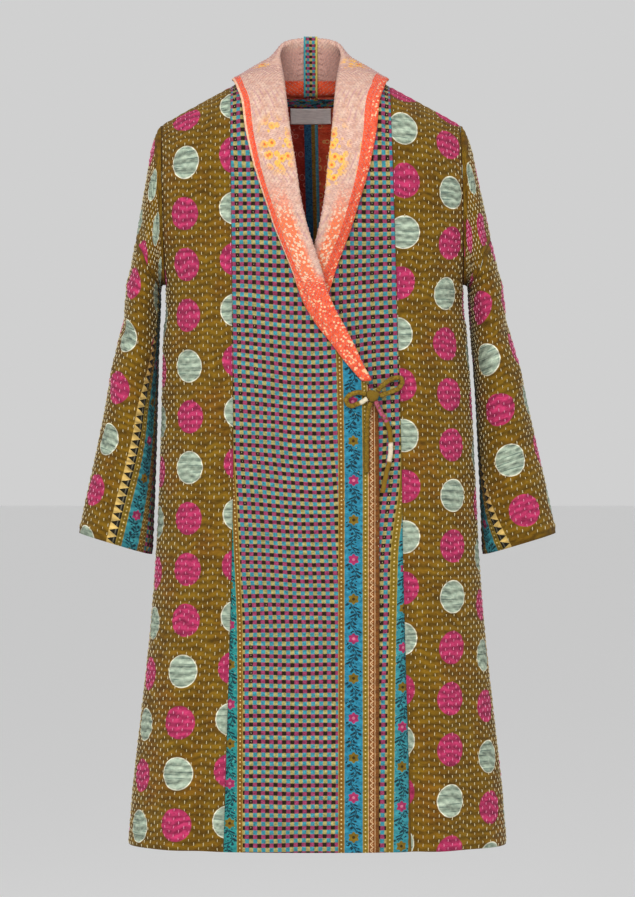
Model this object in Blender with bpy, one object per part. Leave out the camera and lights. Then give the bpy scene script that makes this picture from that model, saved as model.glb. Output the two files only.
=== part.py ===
# A hand-quilted wrap coat with a shawl collar, dropped sleeves and a waist tie.
# It is filled out as worn, with no wearer. The wearer faces -Y and the wearer's left is +X.
# The origin lies between the shoulders, level with the base of the neck at the sides.
import math

import bmesh
import bpy
from mathutils import Vector

# Driving sizes, in metres
WALL = 0.0022
SEAM_GAP = 0.0003
RIPPLE = 0.0009
SHOULDER_TOP = 0.018
SHOULDER_SLOPE = 0.54
NECK_HALF_WIDTH = 0.090
BACK_NECK_DROP = 0.012
HEM_LEVEL = -0.973
RIDGE_DROP = 0.115
RIDGE_ARC = 0.180
RIDGE_POWER = 2.4
SECTION_POWER = 2.4
ARMHOLE_HALF_WIDTH = 0.1938
ARMHOLE_BULGE = 0.014
UNDERARM_LEVEL = -0.245
SHOULDER_POINT_LEVEL = -0.0370
PLAIN_UNDERARM = 0.050
FRONT_EDGE = 0.0784
WRAP_DEPTH_FROM = 0.062
WRAP_DEPTH_TO = 0.108
TIE_LEVEL = -0.3916

# Body sections: height, half width, depth in front, depth behind, sideways lean
BODY_SECTIONS = [
    {"z": -0.980, "half": 0.2460, "front": 0.147, "back": 0.138, "lean": 0.009},
    {"z": -0.904, "half": 0.2400, "front": 0.143, "back": 0.134, "lean": 0.009},
    {"z": -0.800, "half": 0.2284, "front": 0.138, "back": 0.129, "lean": 0.009},
    {"z": -0.700, "half": 0.2175, "front": 0.133, "back": 0.124, "lean": 0.009},
    {"z": -0.600, "half": 0.2098, "front": 0.128, "back": 0.120, "lean": 0.009},
    {"z": -0.500, "half": 0.2050, "front": 0.124, "back": 0.115, "lean": 0.009},
    {"z": -0.400, "half": 0.2010, "front": 0.122, "back": 0.112, "lean": 0.008},
    {"z": -0.310, "half": 0.1968, "front": 0.122, "back": 0.114, "lean": 0.006},
    {"z": -0.275, "half": 0.1938, "front": 0.122, "back": 0.115, "lean": 0.0055},
    {"z": -0.245, "half": 0.1938, "front": 0.122, "back": 0.116, "lean": 0.005},
    {"z": -0.150, "half": 0.1938, "front": 0.121, "back": 0.118, "lean": 0.003},
    {"z": 0.000, "half": 0.1938, "front": 0.118, "back": 0.118, "lean": 0.000},
    {"z": 0.100, "half": 0.1938, "front": 0.118, "back": 0.118, "lean": 0.000},
]

# Seam between the side cloth and the centre cloth of each front
PANEL_SEAM = [
    {"z": -0.980, "x": 0.1200},
    {"z": -0.620, "x": 0.1100},
    {"z": -0.400, "x": 0.1070},
    {"z": 0.020, "x": 0.1025},
]

# Neck and lapel seam of each front, as distance past the centre line on its own side
LAPEL_SEAM = [
    {"z": -0.980, "x": -FRONT_EDGE},
    {"z": -0.400, "x": -FRONT_EDGE},
    {"z": -0.386, "x": -0.0710},
    {"z": -0.3755, "x": -0.0635},
    {"z": -0.361, "x": -0.0540},
    {"z": -0.342, "x": -0.0410},
    {"z": -0.3165, "x": -0.0235},
    {"z": -0.2965, "x": -0.0100},
    {"z": -0.2685, "x": 0.0050},
    {"z": -0.2245, "x": 0.0190},
    {"z": -0.172, "x": 0.0390},
    {"z": -0.145, "x": 0.0475},
    {"z": -0.115, "x": 0.0565},
    {"z": -0.085, "x": 0.0640},
    {"z": -0.048, "x": 0.0735},
    {"z": -0.017, "x": 0.0810},
    {"z": 0.018, "x": NECK_HALF_WIDTH},
]

# How far the under front lies inside the top front
WRAP_DEPTHS = [
    {"z": -0.980, "depth": 0.0052},
    {"z": -0.430, "depth": 0.0060},
    {"z": -0.380, "depth": 0.0120},
    {"z": -0.300, "depth": 0.0170},
    {"z": -0.235, "depth": 0.0180},
    {"z": -0.200, "depth": 0.0140},
    {"z": -0.160, "depth": 0.0060},
    {"z": -0.110, "depth": 0.0000},
    {"z": 0.100, "depth": 0.0000},
]

# Folds that run down the cloth: place on the girth, top, how far down it is full, swell and width
FOLDS = [
    {"side": "front", "x": 0.126, "top": -0.560, "full": -0.760, "swell": -0.0075, "width": 0.014},
    {"side": "front", "x": 0.158, "top": -0.540, "full": -0.820, "swell": 0.0080, "width": 0.022},
    {"side": "front", "x": 0.200, "top": -0.620, "full": -0.900, "swell": -0.0070, "width": 0.020},
    {"side": "front", "x": -0.150, "top": -0.600, "full": -0.860, "swell": -0.0065, "width": 0.018},
    {"side": "front", "x": -0.190, "top": -0.560, "full": -0.880, "swell": 0.0080, "width": 0.022},
    {"side": "back", "x": -0.145, "top": -0.520, "full": -0.850, "swell": 0.0090, "width": 0.026},
    {"side": "back", "x": -0.075, "top": -0.480, "full": -0.800, "swell": -0.0080, "width": 0.024},
    {"side": "back", "x": 0.060, "top": -0.560, "full": -0.860, "swell": -0.0075, "width": 0.024},
    {"side": "back", "x": 0.130, "top": -0.500, "full": -0.820, "swell": 0.0090, "width": 0.028},
]

# Sleeve outline seen from the front: the outer and the inner line, with depth and place along Y
SLEEVE_SECTIONS = [
    {"outer_x": 0.1945, "outer_z": -0.0380,
     "inner_x": 0.1945, "inner_z": -0.2450, "depth": 0.056, "y": 0.000},
    {"outer_x": 0.2070, "outer_z": -0.0650,
     "inner_x": 0.1975, "inner_z": -0.2440, "depth": 0.066, "y": 0.008},
    {"outer_x": 0.2130, "outer_z": -0.0950,
     "inner_x": 0.2000, "inner_z": -0.2450, "depth": 0.074, "y": 0.016},
    {"outer_x": 0.2210, "outer_z": -0.1340,
     "inner_x": 0.2015, "inner_z": -0.2470, "depth": 0.082, "y": 0.022},
    {"outer_x": 0.2290, "outer_z": -0.1740,
     "inner_x": 0.2022, "inner_z": -0.2500, "depth": 0.087, "y": 0.027},
    {"outer_x": 0.2370, "outer_z": -0.2130,
     "inner_x": 0.2028, "inner_z": -0.2550, "depth": 0.089, "y": 0.031},
    {"outer_x": 0.2450, "outer_z": -0.2520,
     "inner_x": 0.2035, "inner_z": -0.2780, "depth": 0.088, "y": 0.033},
    {"outer_x": 0.2540, "outer_z": -0.3040,
     "inner_x": 0.2060, "inner_z": -0.3240, "depth": 0.083, "y": 0.034},
    {"outer_x": 0.2670, "outer_z": -0.3560,
     "inner_x": 0.2085, "inner_z": -0.3750, "depth": 0.077, "y": 0.033},
    {"outer_x": 0.2770, "outer_z": -0.4080,
     "inner_x": 0.2105, "inner_z": -0.4290, "depth": 0.071, "y": 0.030},
    {"outer_x": 0.2880, "outer_z": -0.4610,
     "inner_x": 0.2125, "inner_z": -0.4840, "depth": 0.065, "y": 0.026},
    {"outer_x": 0.2995, "outer_z": -0.5130,
     "inner_x": 0.2145, "inner_z": -0.5390, "depth": 0.060, "y": 0.021},
    {"outer_x": 0.3115, "outer_z": -0.5690,
     "inner_x": 0.2165, "inner_z": -0.5970, "depth": 0.056, "y": 0.015},
]
SLEEVE_RINGS = 25
SLEEVE_SIDES = 16
SLEEVE_SEAM_RING = 9
SLEEVE_POWER = 2.2

# Collar sections of one half from the centre back to the tie. seam_x and seam_z give the neck seam,
# roll_x, roll_y and roll_z the folded edge, over and down how far the fall passes the seam.
COLLAR_SECTIONS = [
    {"seam_x": 0.000, "seam_z": None,
     "roll_x": 0.000, "roll_y": 0.046, "roll_z": 0.080, "over": 0.000, "down": 0.016},
    {"seam_x": 0.030, "seam_z": None,
     "roll_x": 0.020, "roll_y": 0.041, "roll_z": 0.078, "over": 0.001, "down": 0.016},
    {"seam_x": 0.060, "seam_z": None,
     "roll_x": 0.036, "roll_y": 0.027, "roll_z": 0.071, "over": 0.004, "down": 0.014},
    {"seam_x": 0.082, "seam_z": None,
     "roll_x": 0.041, "roll_y": 0.008, "roll_z": 0.056, "over": 0.006, "down": 0.008},
    {"seam_x": 0.090, "seam_z": 0.0180,
     "roll_x": 0.038, "roll_y": -0.022, "roll_z": 0.037, "over": 0.008, "down": 0.000},
    {"seam_x": None, "seam_z": 0.0020,
     "roll_x": 0.034, "roll_y": -0.050, "roll_z": 0.012, "over": 0.006, "down": 0.002},
    {"seam_x": None, "seam_z": -0.0200,
     "roll_x": 0.031, "roll_y": -0.082, "roll_z": -0.018, "over": 0.007, "down": 0.002},
    {"seam_x": None, "seam_z": -0.0500,
     "roll_x": 0.0275, "roll_y": -0.108, "roll_z": -0.052, "over": 0.010, "down": 0.004},
    {"seam_x": None, "seam_z": -0.0900,
     "roll_x": 0.0215, "roll_y": -0.127, "roll_z": -0.098, "over": 0.011, "down": 0.004},
    {"seam_x": None, "seam_z": -0.1350,
     "roll_x": 0.0165, "roll_y": -0.1365, "roll_z": -0.1420, "over": 0.010, "down": 0.004},
    {"seam_x": None, "seam_z": -0.1720,
     "roll_x": 0.0085, "roll_y": -0.1395, "roll_z": -0.1800, "over": 0.010, "down": 0.004},
    {"seam_x": None, "seam_z": -0.2245,
     "roll_x": -0.0076, "roll_y": -0.1410, "roll_z": -0.2330, "over": 0.010, "down": 0.004},
    {"seam_x": None, "seam_z": -0.2685,
     "roll_x": -0.0145, "roll_y": -0.1405, "roll_z": -0.2580, "over": 0.009, "down": 0.004},
    {"seam_x": None, "seam_z": -0.2965,
     "roll_x": -0.0258, "roll_y": -0.1385, "roll_z": -0.2850, "over": 0.008, "down": 0.004},
    {"seam_x": None, "seam_z": -0.3165,
     "roll_x": -0.0370, "roll_y": -0.1360, "roll_z": -0.3055, "over": 0.006, "down": 0.004},
    {"seam_x": None, "seam_z": -0.3420,
     "roll_x": -0.0505, "roll_y": -0.1325, "roll_z": -0.3330, "over": 0.005, "down": 0.004},
    {"seam_x": None, "seam_z": -0.3610,
     "roll_x": -0.0605, "roll_y": -0.1290, "roll_z": -0.3565, "over": 0.003, "down": 0.003},
    {"seam_x": None, "seam_z": -0.3755,
     "roll_x": -0.0690, "roll_y": -0.1270, "roll_z": -0.3725, "over": 0.002, "down": 0.002},
]
COLLAR_COLUMNS = ("roll_x", "roll_y", "roll_z", "over", "down")
BACK_NECK_COLUMN = [
    {"z": -0.980, "x": 0.112},
    {"z": -0.300, "x": 0.100},
    {"z": 0.018, "x": NECK_HALF_WIDTH},
]
ROLL_RADIUS = 0.0046
ROLL_RADIUS_END = 0.0026
FALL_CLEARANCE = 0.0042
FALL_BOW = 0.004
COLLAR_GAP = 0.0007
NECK_LIFT = 0.0045
UNDER_COLLAR_EASE = 0.30
STRIP_BEND = 0.0018

# Tie, in metres from the centre line
TIE_THICKNESS = 0.0062
KNOT = {"x": 0.0715, "z": TIE_LEVEL, "stand": 0.0077, "size": (0.0085, 0.0065, 0.0078)}

# Route of each strand of the tie from the middle of the knot: across, up and forward
TIE_STRANDS = {
    "tie_loop_right": [(0.0093, 0.0000, 0.000), (0.021, 0.004, 0.002), (0.031, 0.008, 0.001),
                       (0.038, 0.015, -0.001), (0.037, 0.022, -0.001), (0.030, 0.023, -0.001),
                       (0.019, 0.018, -0.001), (0.0061, 0.0061, 0.000)],
    "tie_loop_left": [(-0.0087, 0.0023, 0.000), (-0.020, 0.004, 0.001), (-0.030, 0.000, 0.000),
                      (-0.034, -0.007, -0.001), (-0.028, -0.013, -0.001), (-0.018, -0.010, -0.001),
                      (-0.0068, -0.0040, 0.000)],
    "tie_end_left": [(-0.0023, -0.0086, 0.000), (-0.0065, -0.022, -0.001), (-0.0075, -0.040, -0.0028),
                     (-0.0085, -0.060, -0.0030), (-0.0085, -0.080, -0.0030), (-0.0090, -0.098, -0.0030)],
    "tie_end_right": [(0.0040, -0.0071, 0.000), (0.0090, -0.019, 0.001), (0.0165, -0.031, -0.001),
                      (0.0210, -0.045, -0.0028), (0.0225, -0.062, -0.0030), (0.0210, -0.080, -0.0030),
                      (0.0165, -0.100, -0.0030), (0.0115, -0.124, -0.0030)],
}

# Narrow strips on the inside of the back
STRIP_THICKNESS = 0.0010
BINDING_REACH = 0.074
BINDING_ROWS = (0.15, 1.0, 1.5)
BINDING_STEPS = 16
BACK_SEAM_TOP = 0.3
LABEL_STEPS = 6
LABEL_HALF_WIDTH = 0.0270
LABEL_ROWS = (1.8, 2.9, 4.0)
LABEL_THICKNESS = 0.0006
BACK_SEAM_STRIP = 0.0185
COLLAR_STRIP = 0.0180

# Mesh density
RIDGE_ROWS = 9
BODY_ROWS = 34
SIDE_COLUMNS = 6
CENTRE_COLUMNS = 6
BACK_NECK_COLUMNS = 4
BACK_SIDE_COLUMNS = 6

COLOURS = {
    "olive": (0.20, 0.12, 0.012),
    "check": (0.24, 0.16, 0.16),
    "collar": (0.72, 0.50, 0.42),
    "binding": (0.10, 0.30, 0.34),
    "label": (0.82, 0.80, 0.76),
    "tie": (0.22, 0.13, 0.03),
}


def smoothstep(low, high, value):
    t = min(max((value - low) / (high - low), 0.0), 1.0)
    return t * t * (3.0 - 2.0 * t)


def table_value(table, key, column, at):
    """Smooth reading of one column of a table, between rows sorted by the key."""
    rows = sorted(table, key=lambda row: row[key])
    last = len(rows) - 1
    index = 0
    while index < last - 1 and at > rows[index + 1][key]:
        index += 1
    span = rows[index + 1][key] - rows[index][key]
    t = min(max((at - rows[index][key]) / span, 0.0), 1.0)
    here = rows[index][column]
    there = rows[index + 1][column]

    def slope(i):
        low = max(i - 1, 0)
        high = min(i + 1, last)
        return (rows[high][column] - rows[low][column]) / (rows[high][key] - rows[low][key])

    a = slope(index) * span
    b = slope(index + 1) * span
    blend = t * t * (3.0 - 2.0 * t)
    return here + (there - here) * blend + a * t * (1 - t) ** 2 - b * t * t * (1 - t)


def spline(points, at):
    """Catmull-Rom point at a place from 0 to 1 along a list of vectors."""
    last = len(points) - 1
    place = min(max(at, 0.0), 1.0) * last
    index = min(int(place), last - 1)
    t = place - index
    p0 = points[max(index - 1, 0)]
    p1 = points[index]
    p2 = points[index + 1]
    p3 = points[min(index + 2, last)]
    return 0.5 * (2 * p1 + (p2 - p0) * t + (2 * p0 - 5 * p1 + 4 * p2 - p3) * t * t
                  + (3 * p1 - p0 - 3 * p2 + p3) * t * t * t)


def body(column, z):
    return table_value(BODY_SECTIONS, "z", column, z)


def ridge_level(x):
    """Height of the shoulder line over a place on either side of the neck."""
    return SHOULDER_TOP - SHOULDER_SLOPE * max(abs(x) - NECK_HALF_WIDTH, 0.0)


def arc_to_drop(q):
    """Drop below the shoulder line, and the fullness there, for an arc length q down the cloth."""
    if abs(q) >= RIDGE_ARC:
        return RIDGE_DROP + abs(q) - RIDGE_ARC, 1.0
    angle = abs(q) / RIDGE_ARC * math.pi / 2
    drop = RIDGE_DROP * (1.0 - math.cos(angle) ** (2.0 / RIDGE_POWER))
    return drop, math.sin(angle) ** (2.0 / RIDGE_POWER)


def level(x, q):
    """Height of the cloth at x, an arc length q below the shoulder line."""
    flat = SHOULDER_TOP - arc_to_drop(q)[0]
    tilt = smoothstep(-0.190, SHOULDER_TOP, flat)
    return flat + tilt * (ridge_level(x) - SHOULDER_TOP)


def form_half_width(z):
    """Half width of the body form. It swells past the armhole so that the armhole opens."""
    half = body("half", z)
    if z > UNDERARM_LEVEL:
        share = min((z - UNDERARM_LEVEL) / (SHOULDER_POINT_LEVEL - UNDERARM_LEVEL), 1.0)
        half += ARMHOLE_BULGE * math.sin(math.pi * min(share, 0.5)) ** 0.9
    return half


def fold_swell(x, z, side):
    total = 0.0
    for fold in FOLDS:
        if fold["side"] == side:
            strength = 1.0 - smoothstep(fold["full"], fold["top"], z)
            total += fold["swell"] * strength * math.exp(-((x - fold["x"]) / fold["width"]) ** 2)
    return total


def form_point(x, q):
    """Point on the outside of the body form. A negative q lies on the back."""
    z = level(x, q)
    half = form_half_width(z)
    side = "front" if q >= 0 else "back"
    depth = body(side, z)
    share = min(abs(x) / half, 1.0)
    fullness = arc_to_drop(q)[1]
    reach = (1.0 - share ** SECTION_POWER) ** (1.0 / SECTION_POWER)
    swell = fold_swell(x, z, side) * min(reach * 2.5, 1.0)
    y = (depth + swell) * reach * fullness
    return Vector((x + body("lean", z), -y if q >= 0 else y, z))


def arc_at_level(x, z, side=1):
    """Arc length below the shoulder line at which the cloth at x reaches height z."""
    low = 0.0
    high = 1.2
    for _ in range(40):
        middle = (low + high) / 2
        if level(x, middle) > z:
            low = middle
        else:
            high = middle
    return side * (low + high) / 2


def form_normal(x, q):
    """Outward direction of the body form, from two short steps along it."""
    step = 0.0015
    half = form_half_width(level(x, q))
    sign = 1 if x >= 0 else -1
    if half - abs(x) < step / 2:
        return Vector((sign, 0, 0))
    span = min(step, max(half - abs(x), 0.0001) * 0.8)
    along = form_point(x + span, q) - form_point(x - span, q)
    if abs(q) < 2 * step:
        normal = along.cross(Vector((0, -1 if q >= 0 else 1, 0)))
        return (normal if normal.z > 0 else -normal).normalized()
    down = form_point(x, q + step) - form_point(x, q - step)
    normal = along.cross(down)
    outward = Vector((x * 0.2, -1 if q >= 0 else 1, 0.05))
    return (normal if normal.dot(outward) > 0 else -normal).normalized()


def side_limit(x_sign, q):
    """Place of the side seam, or of the armhole above the underarm, on the row at q."""
    x = ARMHOLE_HALF_WIDTH
    for _ in range(6):
        z = level(x, q)
        x = body("half", z) if z < UNDERARM_LEVEL else ARMHOLE_HALF_WIDTH
    return x_sign * x


def seam_place(table, q, own_side):
    """Place of a seam, given by a table of z and x, on the row at q."""
    x = table[-1]["x"]
    for _ in range(6):
        x = table_value(table, "z", "x", level(x * own_side, q))
    return x * own_side


def row_points(x0, x1, q, count):
    """Places across a row, spaced evenly along the cloth."""
    samples = 120
    half = form_half_width(level((x0 + x1) / 2, q))

    def section_angle(x):
        share = min(abs(x) / max(half, abs(x)), 1.0)
        return math.copysign(math.asin(share ** (SECTION_POWER / 2)), x)

    angle0 = section_angle(x0)
    angle1 = section_angle(x1)
    places = []
    for i in range(samples + 1):
        angle = angle0 + (angle1 - angle0) * i / samples
        x = math.copysign(abs(math.sin(angle)) ** (2 / SECTION_POWER), angle)
        places.append(x)
    scale0 = places[0]
    scale1 = places[-1]
    places = [x0 + (x1 - x0) * (p - scale0) / (scale1 - scale0) for p in places]
    points = [form_point(x, q) for x in places]
    lengths = [0.0]
    for a, b in zip(points, points[1:]):
        lengths.append(lengths[-1] + (b - a).length)
    result = []
    for k in range(count + 1):
        want = lengths[-1] * k / count
        i = 0
        while i < samples - 1 and lengths[i + 1] < want:
            i += 1
        t = (want - lengths[i]) / max(lengths[i + 1] - lengths[i], 1e-9)
        result.append(places[i] + (places[i + 1] - places[i]) * t)
    return result


def wrap_sink(x, z):
    """How far the under front lies inside the form, where the top front covers it."""
    depth = table_value(WRAP_DEPTHS, "z", "depth", z)
    return max(depth, 0.0) * (1.0 - smoothstep(WRAP_DEPTH_FROM, WRAP_DEPTH_TO, x))


# Shared collection and materials
def remove_objects():
    for item in list(bpy.data.objects):
        bpy.data.objects.remove(item, do_unlink=True)


def make_material(name):
    material = bpy.data.materials.new("cloth_" + name)
    material.use_nodes = True
    shader = material.node_tree.nodes["Principled BSDF"]
    shader.inputs["Base Color"].default_value = (*COLOURS[name], 1.0)
    shader.inputs["Roughness"].default_value = 0.9
    shader.inputs["Metallic"].default_value = 0.0
    return material


def add_object(name, mesh, material, collection):
    item = bpy.data.objects.new(name, mesh)
    mesh.materials.append(material)
    mesh.shade_smooth()
    mesh.set_sharp_from_angle(angle=math.radians(50))
    collection.objects.link(item)
    return item


def wall_mesh(name, outer, inner, closed=False):
    """A wall of cloth between two grids of points. A closed one joins its last column to its first."""
    mesh = bpy.data.meshes.new(name)
    shape = bmesh.new()
    rows = len(outer)
    columns = len(outer[0])
    skins = [[[shape.verts.new(p) for p in row] for row in grid] for grid in (outer, inner)]
    across = columns if closed else columns - 1
    for i in range(rows - 1):
        for j in range(across):
            k = (j + 1) % columns
            for skin in skins:
                shape.faces.new((skin[i][j], skin[i][k], skin[i + 1][k], skin[i + 1][j]))
    front, back = skins
    for i in (0, rows - 1):
        for j in range(across):
            k = (j + 1) % columns
            shape.faces.new((front[i][j], front[i][k], back[i][k], back[i][j]))
    if not closed:
        for j in (0, columns - 1):
            for i in range(rows - 1):
                shape.faces.new((front[i][j], front[i + 1][j], back[i + 1][j], back[i][j]))
    bmesh.ops.recalc_face_normals(shape, faces=shape.faces)
    shape.to_mesh(mesh)
    shape.free()
    return mesh


# Body panels
def row_arcs():
    """Arc lengths of the rows, close together over the shoulder and even below it."""
    hem = RIDGE_ARC + SHOULDER_TOP - RIDGE_DROP - HEM_LEVEL
    arcs = [RIDGE_ARC * i / RIDGE_ROWS for i in range(RIDGE_ROWS)]
    arcs += [RIDGE_ARC + (hem - RIDGE_ARC) * i / BODY_ROWS for i in range(BODY_ROWS + 1)]
    return arcs


def quilt_height(row):
    return RIPPLE if row % 2 else 0.0


def front_panel(name, own_side, part, material, collection):
    """One cloth of a front: own_side is -1 for the wearer's right, and part is side or centre."""
    outer = []
    inner = []
    under = own_side > 0
    for row, q in enumerate(row_arcs()):
        q = max(q, 0.0006)
        seam = seam_place(PANEL_SEAM, q, own_side)
        if part == "side":
            x0 = seam + own_side * SEAM_GAP / 2
            x1 = side_limit(own_side, q)
            columns = SIDE_COLUMNS
        else:
            x0 = seam_place(LAPEL_SEAM, q, own_side) + own_side * SEAM_GAP / 2
            x1 = seam - own_side * SEAM_GAP / 2
            columns = CENTRE_COLUMNS
        outside = []
        inside = []
        for x in row_points(x0, x1, q, columns):
            point = form_point(x, q)
            normal = form_normal(x, q)
            sink = wrap_sink(x, point.z) if under else 0.0
            surface = point - normal * sink
            if abs(q) < 0.001:
                surface.y = -SEAM_GAP / 2
            edge = abs(point.y) < SEAM_GAP
            if edge:
                surface.y = -SEAM_GAP / 2
            below = surface - normal * WALL
            if edge:
                below.y = -SEAM_GAP / 2
            raised = surface + normal * quilt_height(row)
            if x == x1 and part == "side" and point.z > UNDERARM_LEVEL - PLAIN_UNDERARM:
                raised.x = surface.x
            outside.append(raised)
            inside.append(below)
        outer.append(outside)
        inner.append(inside)
    return add_object(name, wall_mesh(name, outer, inner), material, collection)


def back_neck_arc(x):
    """Arc length at which the back neckline crosses the back at x."""
    share = min(abs(x) / NECK_HALF_WIDTH, 1.0)
    z = SHOULDER_TOP - BACK_NECK_DROP * (1.0 - share ** 3)
    if share >= 1.0:
        return 0.0
    return arc_at_level(x, z)


def back_arc(row, arcs, x):
    """Arc length of a row of the back at x, pushed down under the neckline."""
    top = back_neck_arc(x)
    if row >= RIDGE_ROWS:
        return arcs[row]
    return top + (arcs[RIDGE_ROWS] - top) * arcs[row] / arcs[RIDGE_ROWS]


def back_surface(row, arcs, x):
    q = -max(back_arc(row, arcs, x), 0.0006)
    point = form_point(x, q)
    normal = form_normal(x, q)
    return point, normal


def back_places(own_side, q):
    """Places across a row of one back half, with a column that meets the neck point."""
    neck = table_value(BACK_NECK_COLUMN, "z", "x", level(own_side * NECK_HALF_WIDTH, q))
    inner = row_points(own_side * SEAM_GAP / 2, own_side * neck, q, BACK_NECK_COLUMNS)
    outer = row_points(own_side * neck, side_limit(own_side, q), q, BACK_SIDE_COLUMNS)
    return inner[:-1] + outer


def back_panel(name, own_side, material, collection):
    arcs = row_arcs()
    outer = []
    inner = []
    for row, q in enumerate(arcs):
        outside = []
        inside = []
        places = back_places(own_side, -max(q, 0.0006))
        for x in places:
            point, normal = back_surface(row, arcs, x)
            edge = point.y < 2 * SEAM_GAP or (row == 0 and abs(x) > NECK_HALF_WIDTH - SEAM_GAP)
            if edge:
                point.y = SEAM_GAP / 2
            below = point - normal * WALL
            if edge:
                below.y = SEAM_GAP / 2
            raised = point + normal * quilt_height(row)
            if x == places[-1] and point.z > UNDERARM_LEVEL - PLAIN_UNDERARM:
                raised.x = point.x
            outside.append(raised)
            inside.append(below)
        outer.append(outside)
        inner.append(inside)
    add_object(name, wall_mesh(name, outer, inner), material, collection)
    return inner


# Sleeves
def armhole_depth(z, front):
    """Distance of the armhole edge from the middle of the side, at height z."""
    q = arc_at_level(ARMHOLE_HALF_WIDTH, z, 1 if front else -1)
    return form_point(ARMHOLE_HALF_WIDTH, q).y


def sleeve_ring(own_side, place):
    """Outer points of one ring, at a place from 0 at the armhole to 1 at the cuff."""
    last = len(SLEEVE_SECTIONS) - 1
    keyed = [dict(section, at=i / last) for i, section in enumerate(SLEEVE_SECTIONS)]
    section = {key: table_value(keyed, "at", key, place) for key in SLEEVE_SECTIONS[0]}
    hold = 1.0 - smoothstep(0.0, 0.09, place)
    ring = []
    for j in range(SLEEVE_SIDES):
        angle = 2 * math.pi * (j + 0.5) / SLEEVE_SIDES
        c = math.copysign(abs(math.cos(angle)) ** (2 / SLEEVE_POWER), math.cos(angle))
        s = math.copysign(abs(math.sin(angle)) ** (2 / SLEEVE_POWER), math.sin(angle))
        share = (1 + c) / 2
        x = section["inner_x"] + (section["outer_x"] - section["inner_x"]) * share
        z = section["inner_z"] + (section["outer_z"] - section["inner_z"]) * share
        y = section["y"] - section["depth"] * s
        if hold > 0:
            edge_y = armhole_depth(max(z, UNDERARM_LEVEL), s > 0)
            y = y + (edge_y - y) * hold
        ring.append(Vector((own_side * x + body("lean", z), y, z)))
    return ring


def grid_normals(grid, middle):
    """Outward directions of a tube given as rings of points, away from the middle of each ring."""
    result = []
    for i, ring in enumerate(grid):
        above = grid[max(i - 1, 0)]
        below = grid[min(i + 1, len(grid) - 1)]
        row = []
        for j in range(len(ring)):
            around = ring[(j + 1) % len(ring)] - ring[j - 1]
            along = below[j] - above[j]
            normal = around.cross(along).normalized()
            row.append(normal if normal.dot(ring[j] - middle[i]) > 0 else -normal)
        result.append(row)
    return result


def sleeve_pieces(side_name, own_side, material, collection):
    rings = [sleeve_ring(own_side, i / SLEEVE_RINGS) for i in range(SLEEVE_RINGS + 1)]
    middles = [sum(ring, Vector()) / len(ring) for ring in rings]
    normals = grid_normals(rings, middles)
    normals[0] = [(p - middles[0]).normalized() for p in rings[0]]
    inner = [[p - n * WALL for p, n in zip(ring, row)] for ring, row in zip(rings, normals)]
    outer = []
    for i, (ring, row) in enumerate(zip(rings, normals)):
        outer.append([p + n * quilt_height(i) for p, n in zip(ring, row)])
    for j in range(SLEEVE_SIDES):
        edge = own_side * (ARMHOLE_HALF_WIDTH + SEAM_GAP)
        for ring in (outer[0], inner[0]):
            ring[j].x = edge + body("lean", rings[0][j].z)
    split = SLEEVE_SEAM_RING

    def parted(skin, upper):
        """Rings of one part, with half of the seam gap taken off at the seam."""
        if upper:
            kept = [list(ring) for ring in skin[:split + 1]]
            last = kept[-1]
            kept[-1] = [p + (q - p).normalized() * SEAM_GAP / 2 for p, q in zip(last, kept[-2])]
            return kept
        kept = [list(ring) for ring in skin[split:]]
        first = kept[0]
        kept[0] = [p + (q - p).normalized() * SEAM_GAP / 2 for p, q in zip(first, kept[1])]
        return kept

    for part, upper in (("upper", True), ("lower", False)):
        name = "sleeve_%s_%s" % (side_name, part)
        mesh = wall_mesh(name, parted(outer, upper), parted(inner, upper), closed=True)
        add_object(name, mesh, material, collection)


# Collar
def neck_line(own_side):
    """The neck seam of one side, from the centre back over the neck point to the tie."""
    arcs = row_arcs()
    line = []
    back = back_places(own_side, -0.0006)[:BACK_NECK_COLUMNS + 1]
    for k, x in enumerate(back):
        point, normal = back_surface(0, arcs, x)
        q = -max(back_arc(0, arcs, x), 0.0006)
        if k > 0:
            before = line[-1]
            line.append({"x": (x + before["x"]) / 2, "q": (q + before["q"]) / 2,
                         "point": (point + before["point"]) / 2, "sink": 0.0, "between": True})
        line.append({"x": x, "q": q, "point": point, "sink": 0.0, "between": False})
    line.pop()
    for q in arcs:
        q = max(q, 0.0006)
        x = seam_place(LAPEL_SEAM, q, own_side)
        point = form_point(x, q)
        if point.z < COLLAR_SECTIONS[-1]["seam_z"]:
            break
        sink = wrap_sink(x, point.z) if own_side > 0 else 0.0
        if q < 0.001:
            point.y = 0.0
        line.append({"x": x, "q": q, "point": point - form_normal(x, q) * sink, "sink": sink,
                     "between": False})
    arc = 0.0
    for before, here in zip([line[0]] + line, line):
        arc += (here["point"] - before["point"]).length
        here["arc"] = arc
    for i, here in enumerate(line):
        along = line[min(i + 1, len(line) - 1)]["point"] - line[max(i - 1, 0)]["point"]
        here["normal"] = form_normal(here["x"], here["q"])
        here["away"] = here["normal"].cross(along).normalized() * -own_side
    for i in range(1, len(line) - 1):
        if line[i]["between"]:
            line[i]["normal"] = (line[i - 1]["normal"] + line[i + 1]["normal"]).normalized()
    return line


def collar_keys(line, own_side):
    """The collar's table with the arc length along the neck seam of each of its rows."""
    behind = [entry for entry in line if entry["q"] <= 0.001]
    before = [entry for entry in line if entry["q"] >= 0.001]
    keyed = []
    for row in COLLAR_SECTIONS:
        if row["seam_x"] is not None:
            near = min(behind, key=lambda e: abs(abs(e["x"]) - row["seam_x"]))
        else:
            near = min(before, key=lambda e: abs(e["point"].z - row["seam_z"]))
        entry = {key: row[key] for key in COLLAR_COLUMNS}
        entry["arc"] = near["arc"]
        if not keyed or entry["arc"] > keyed[-1]["arc"] + 0.002:
            keyed.append(entry)
    return keyed


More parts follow.
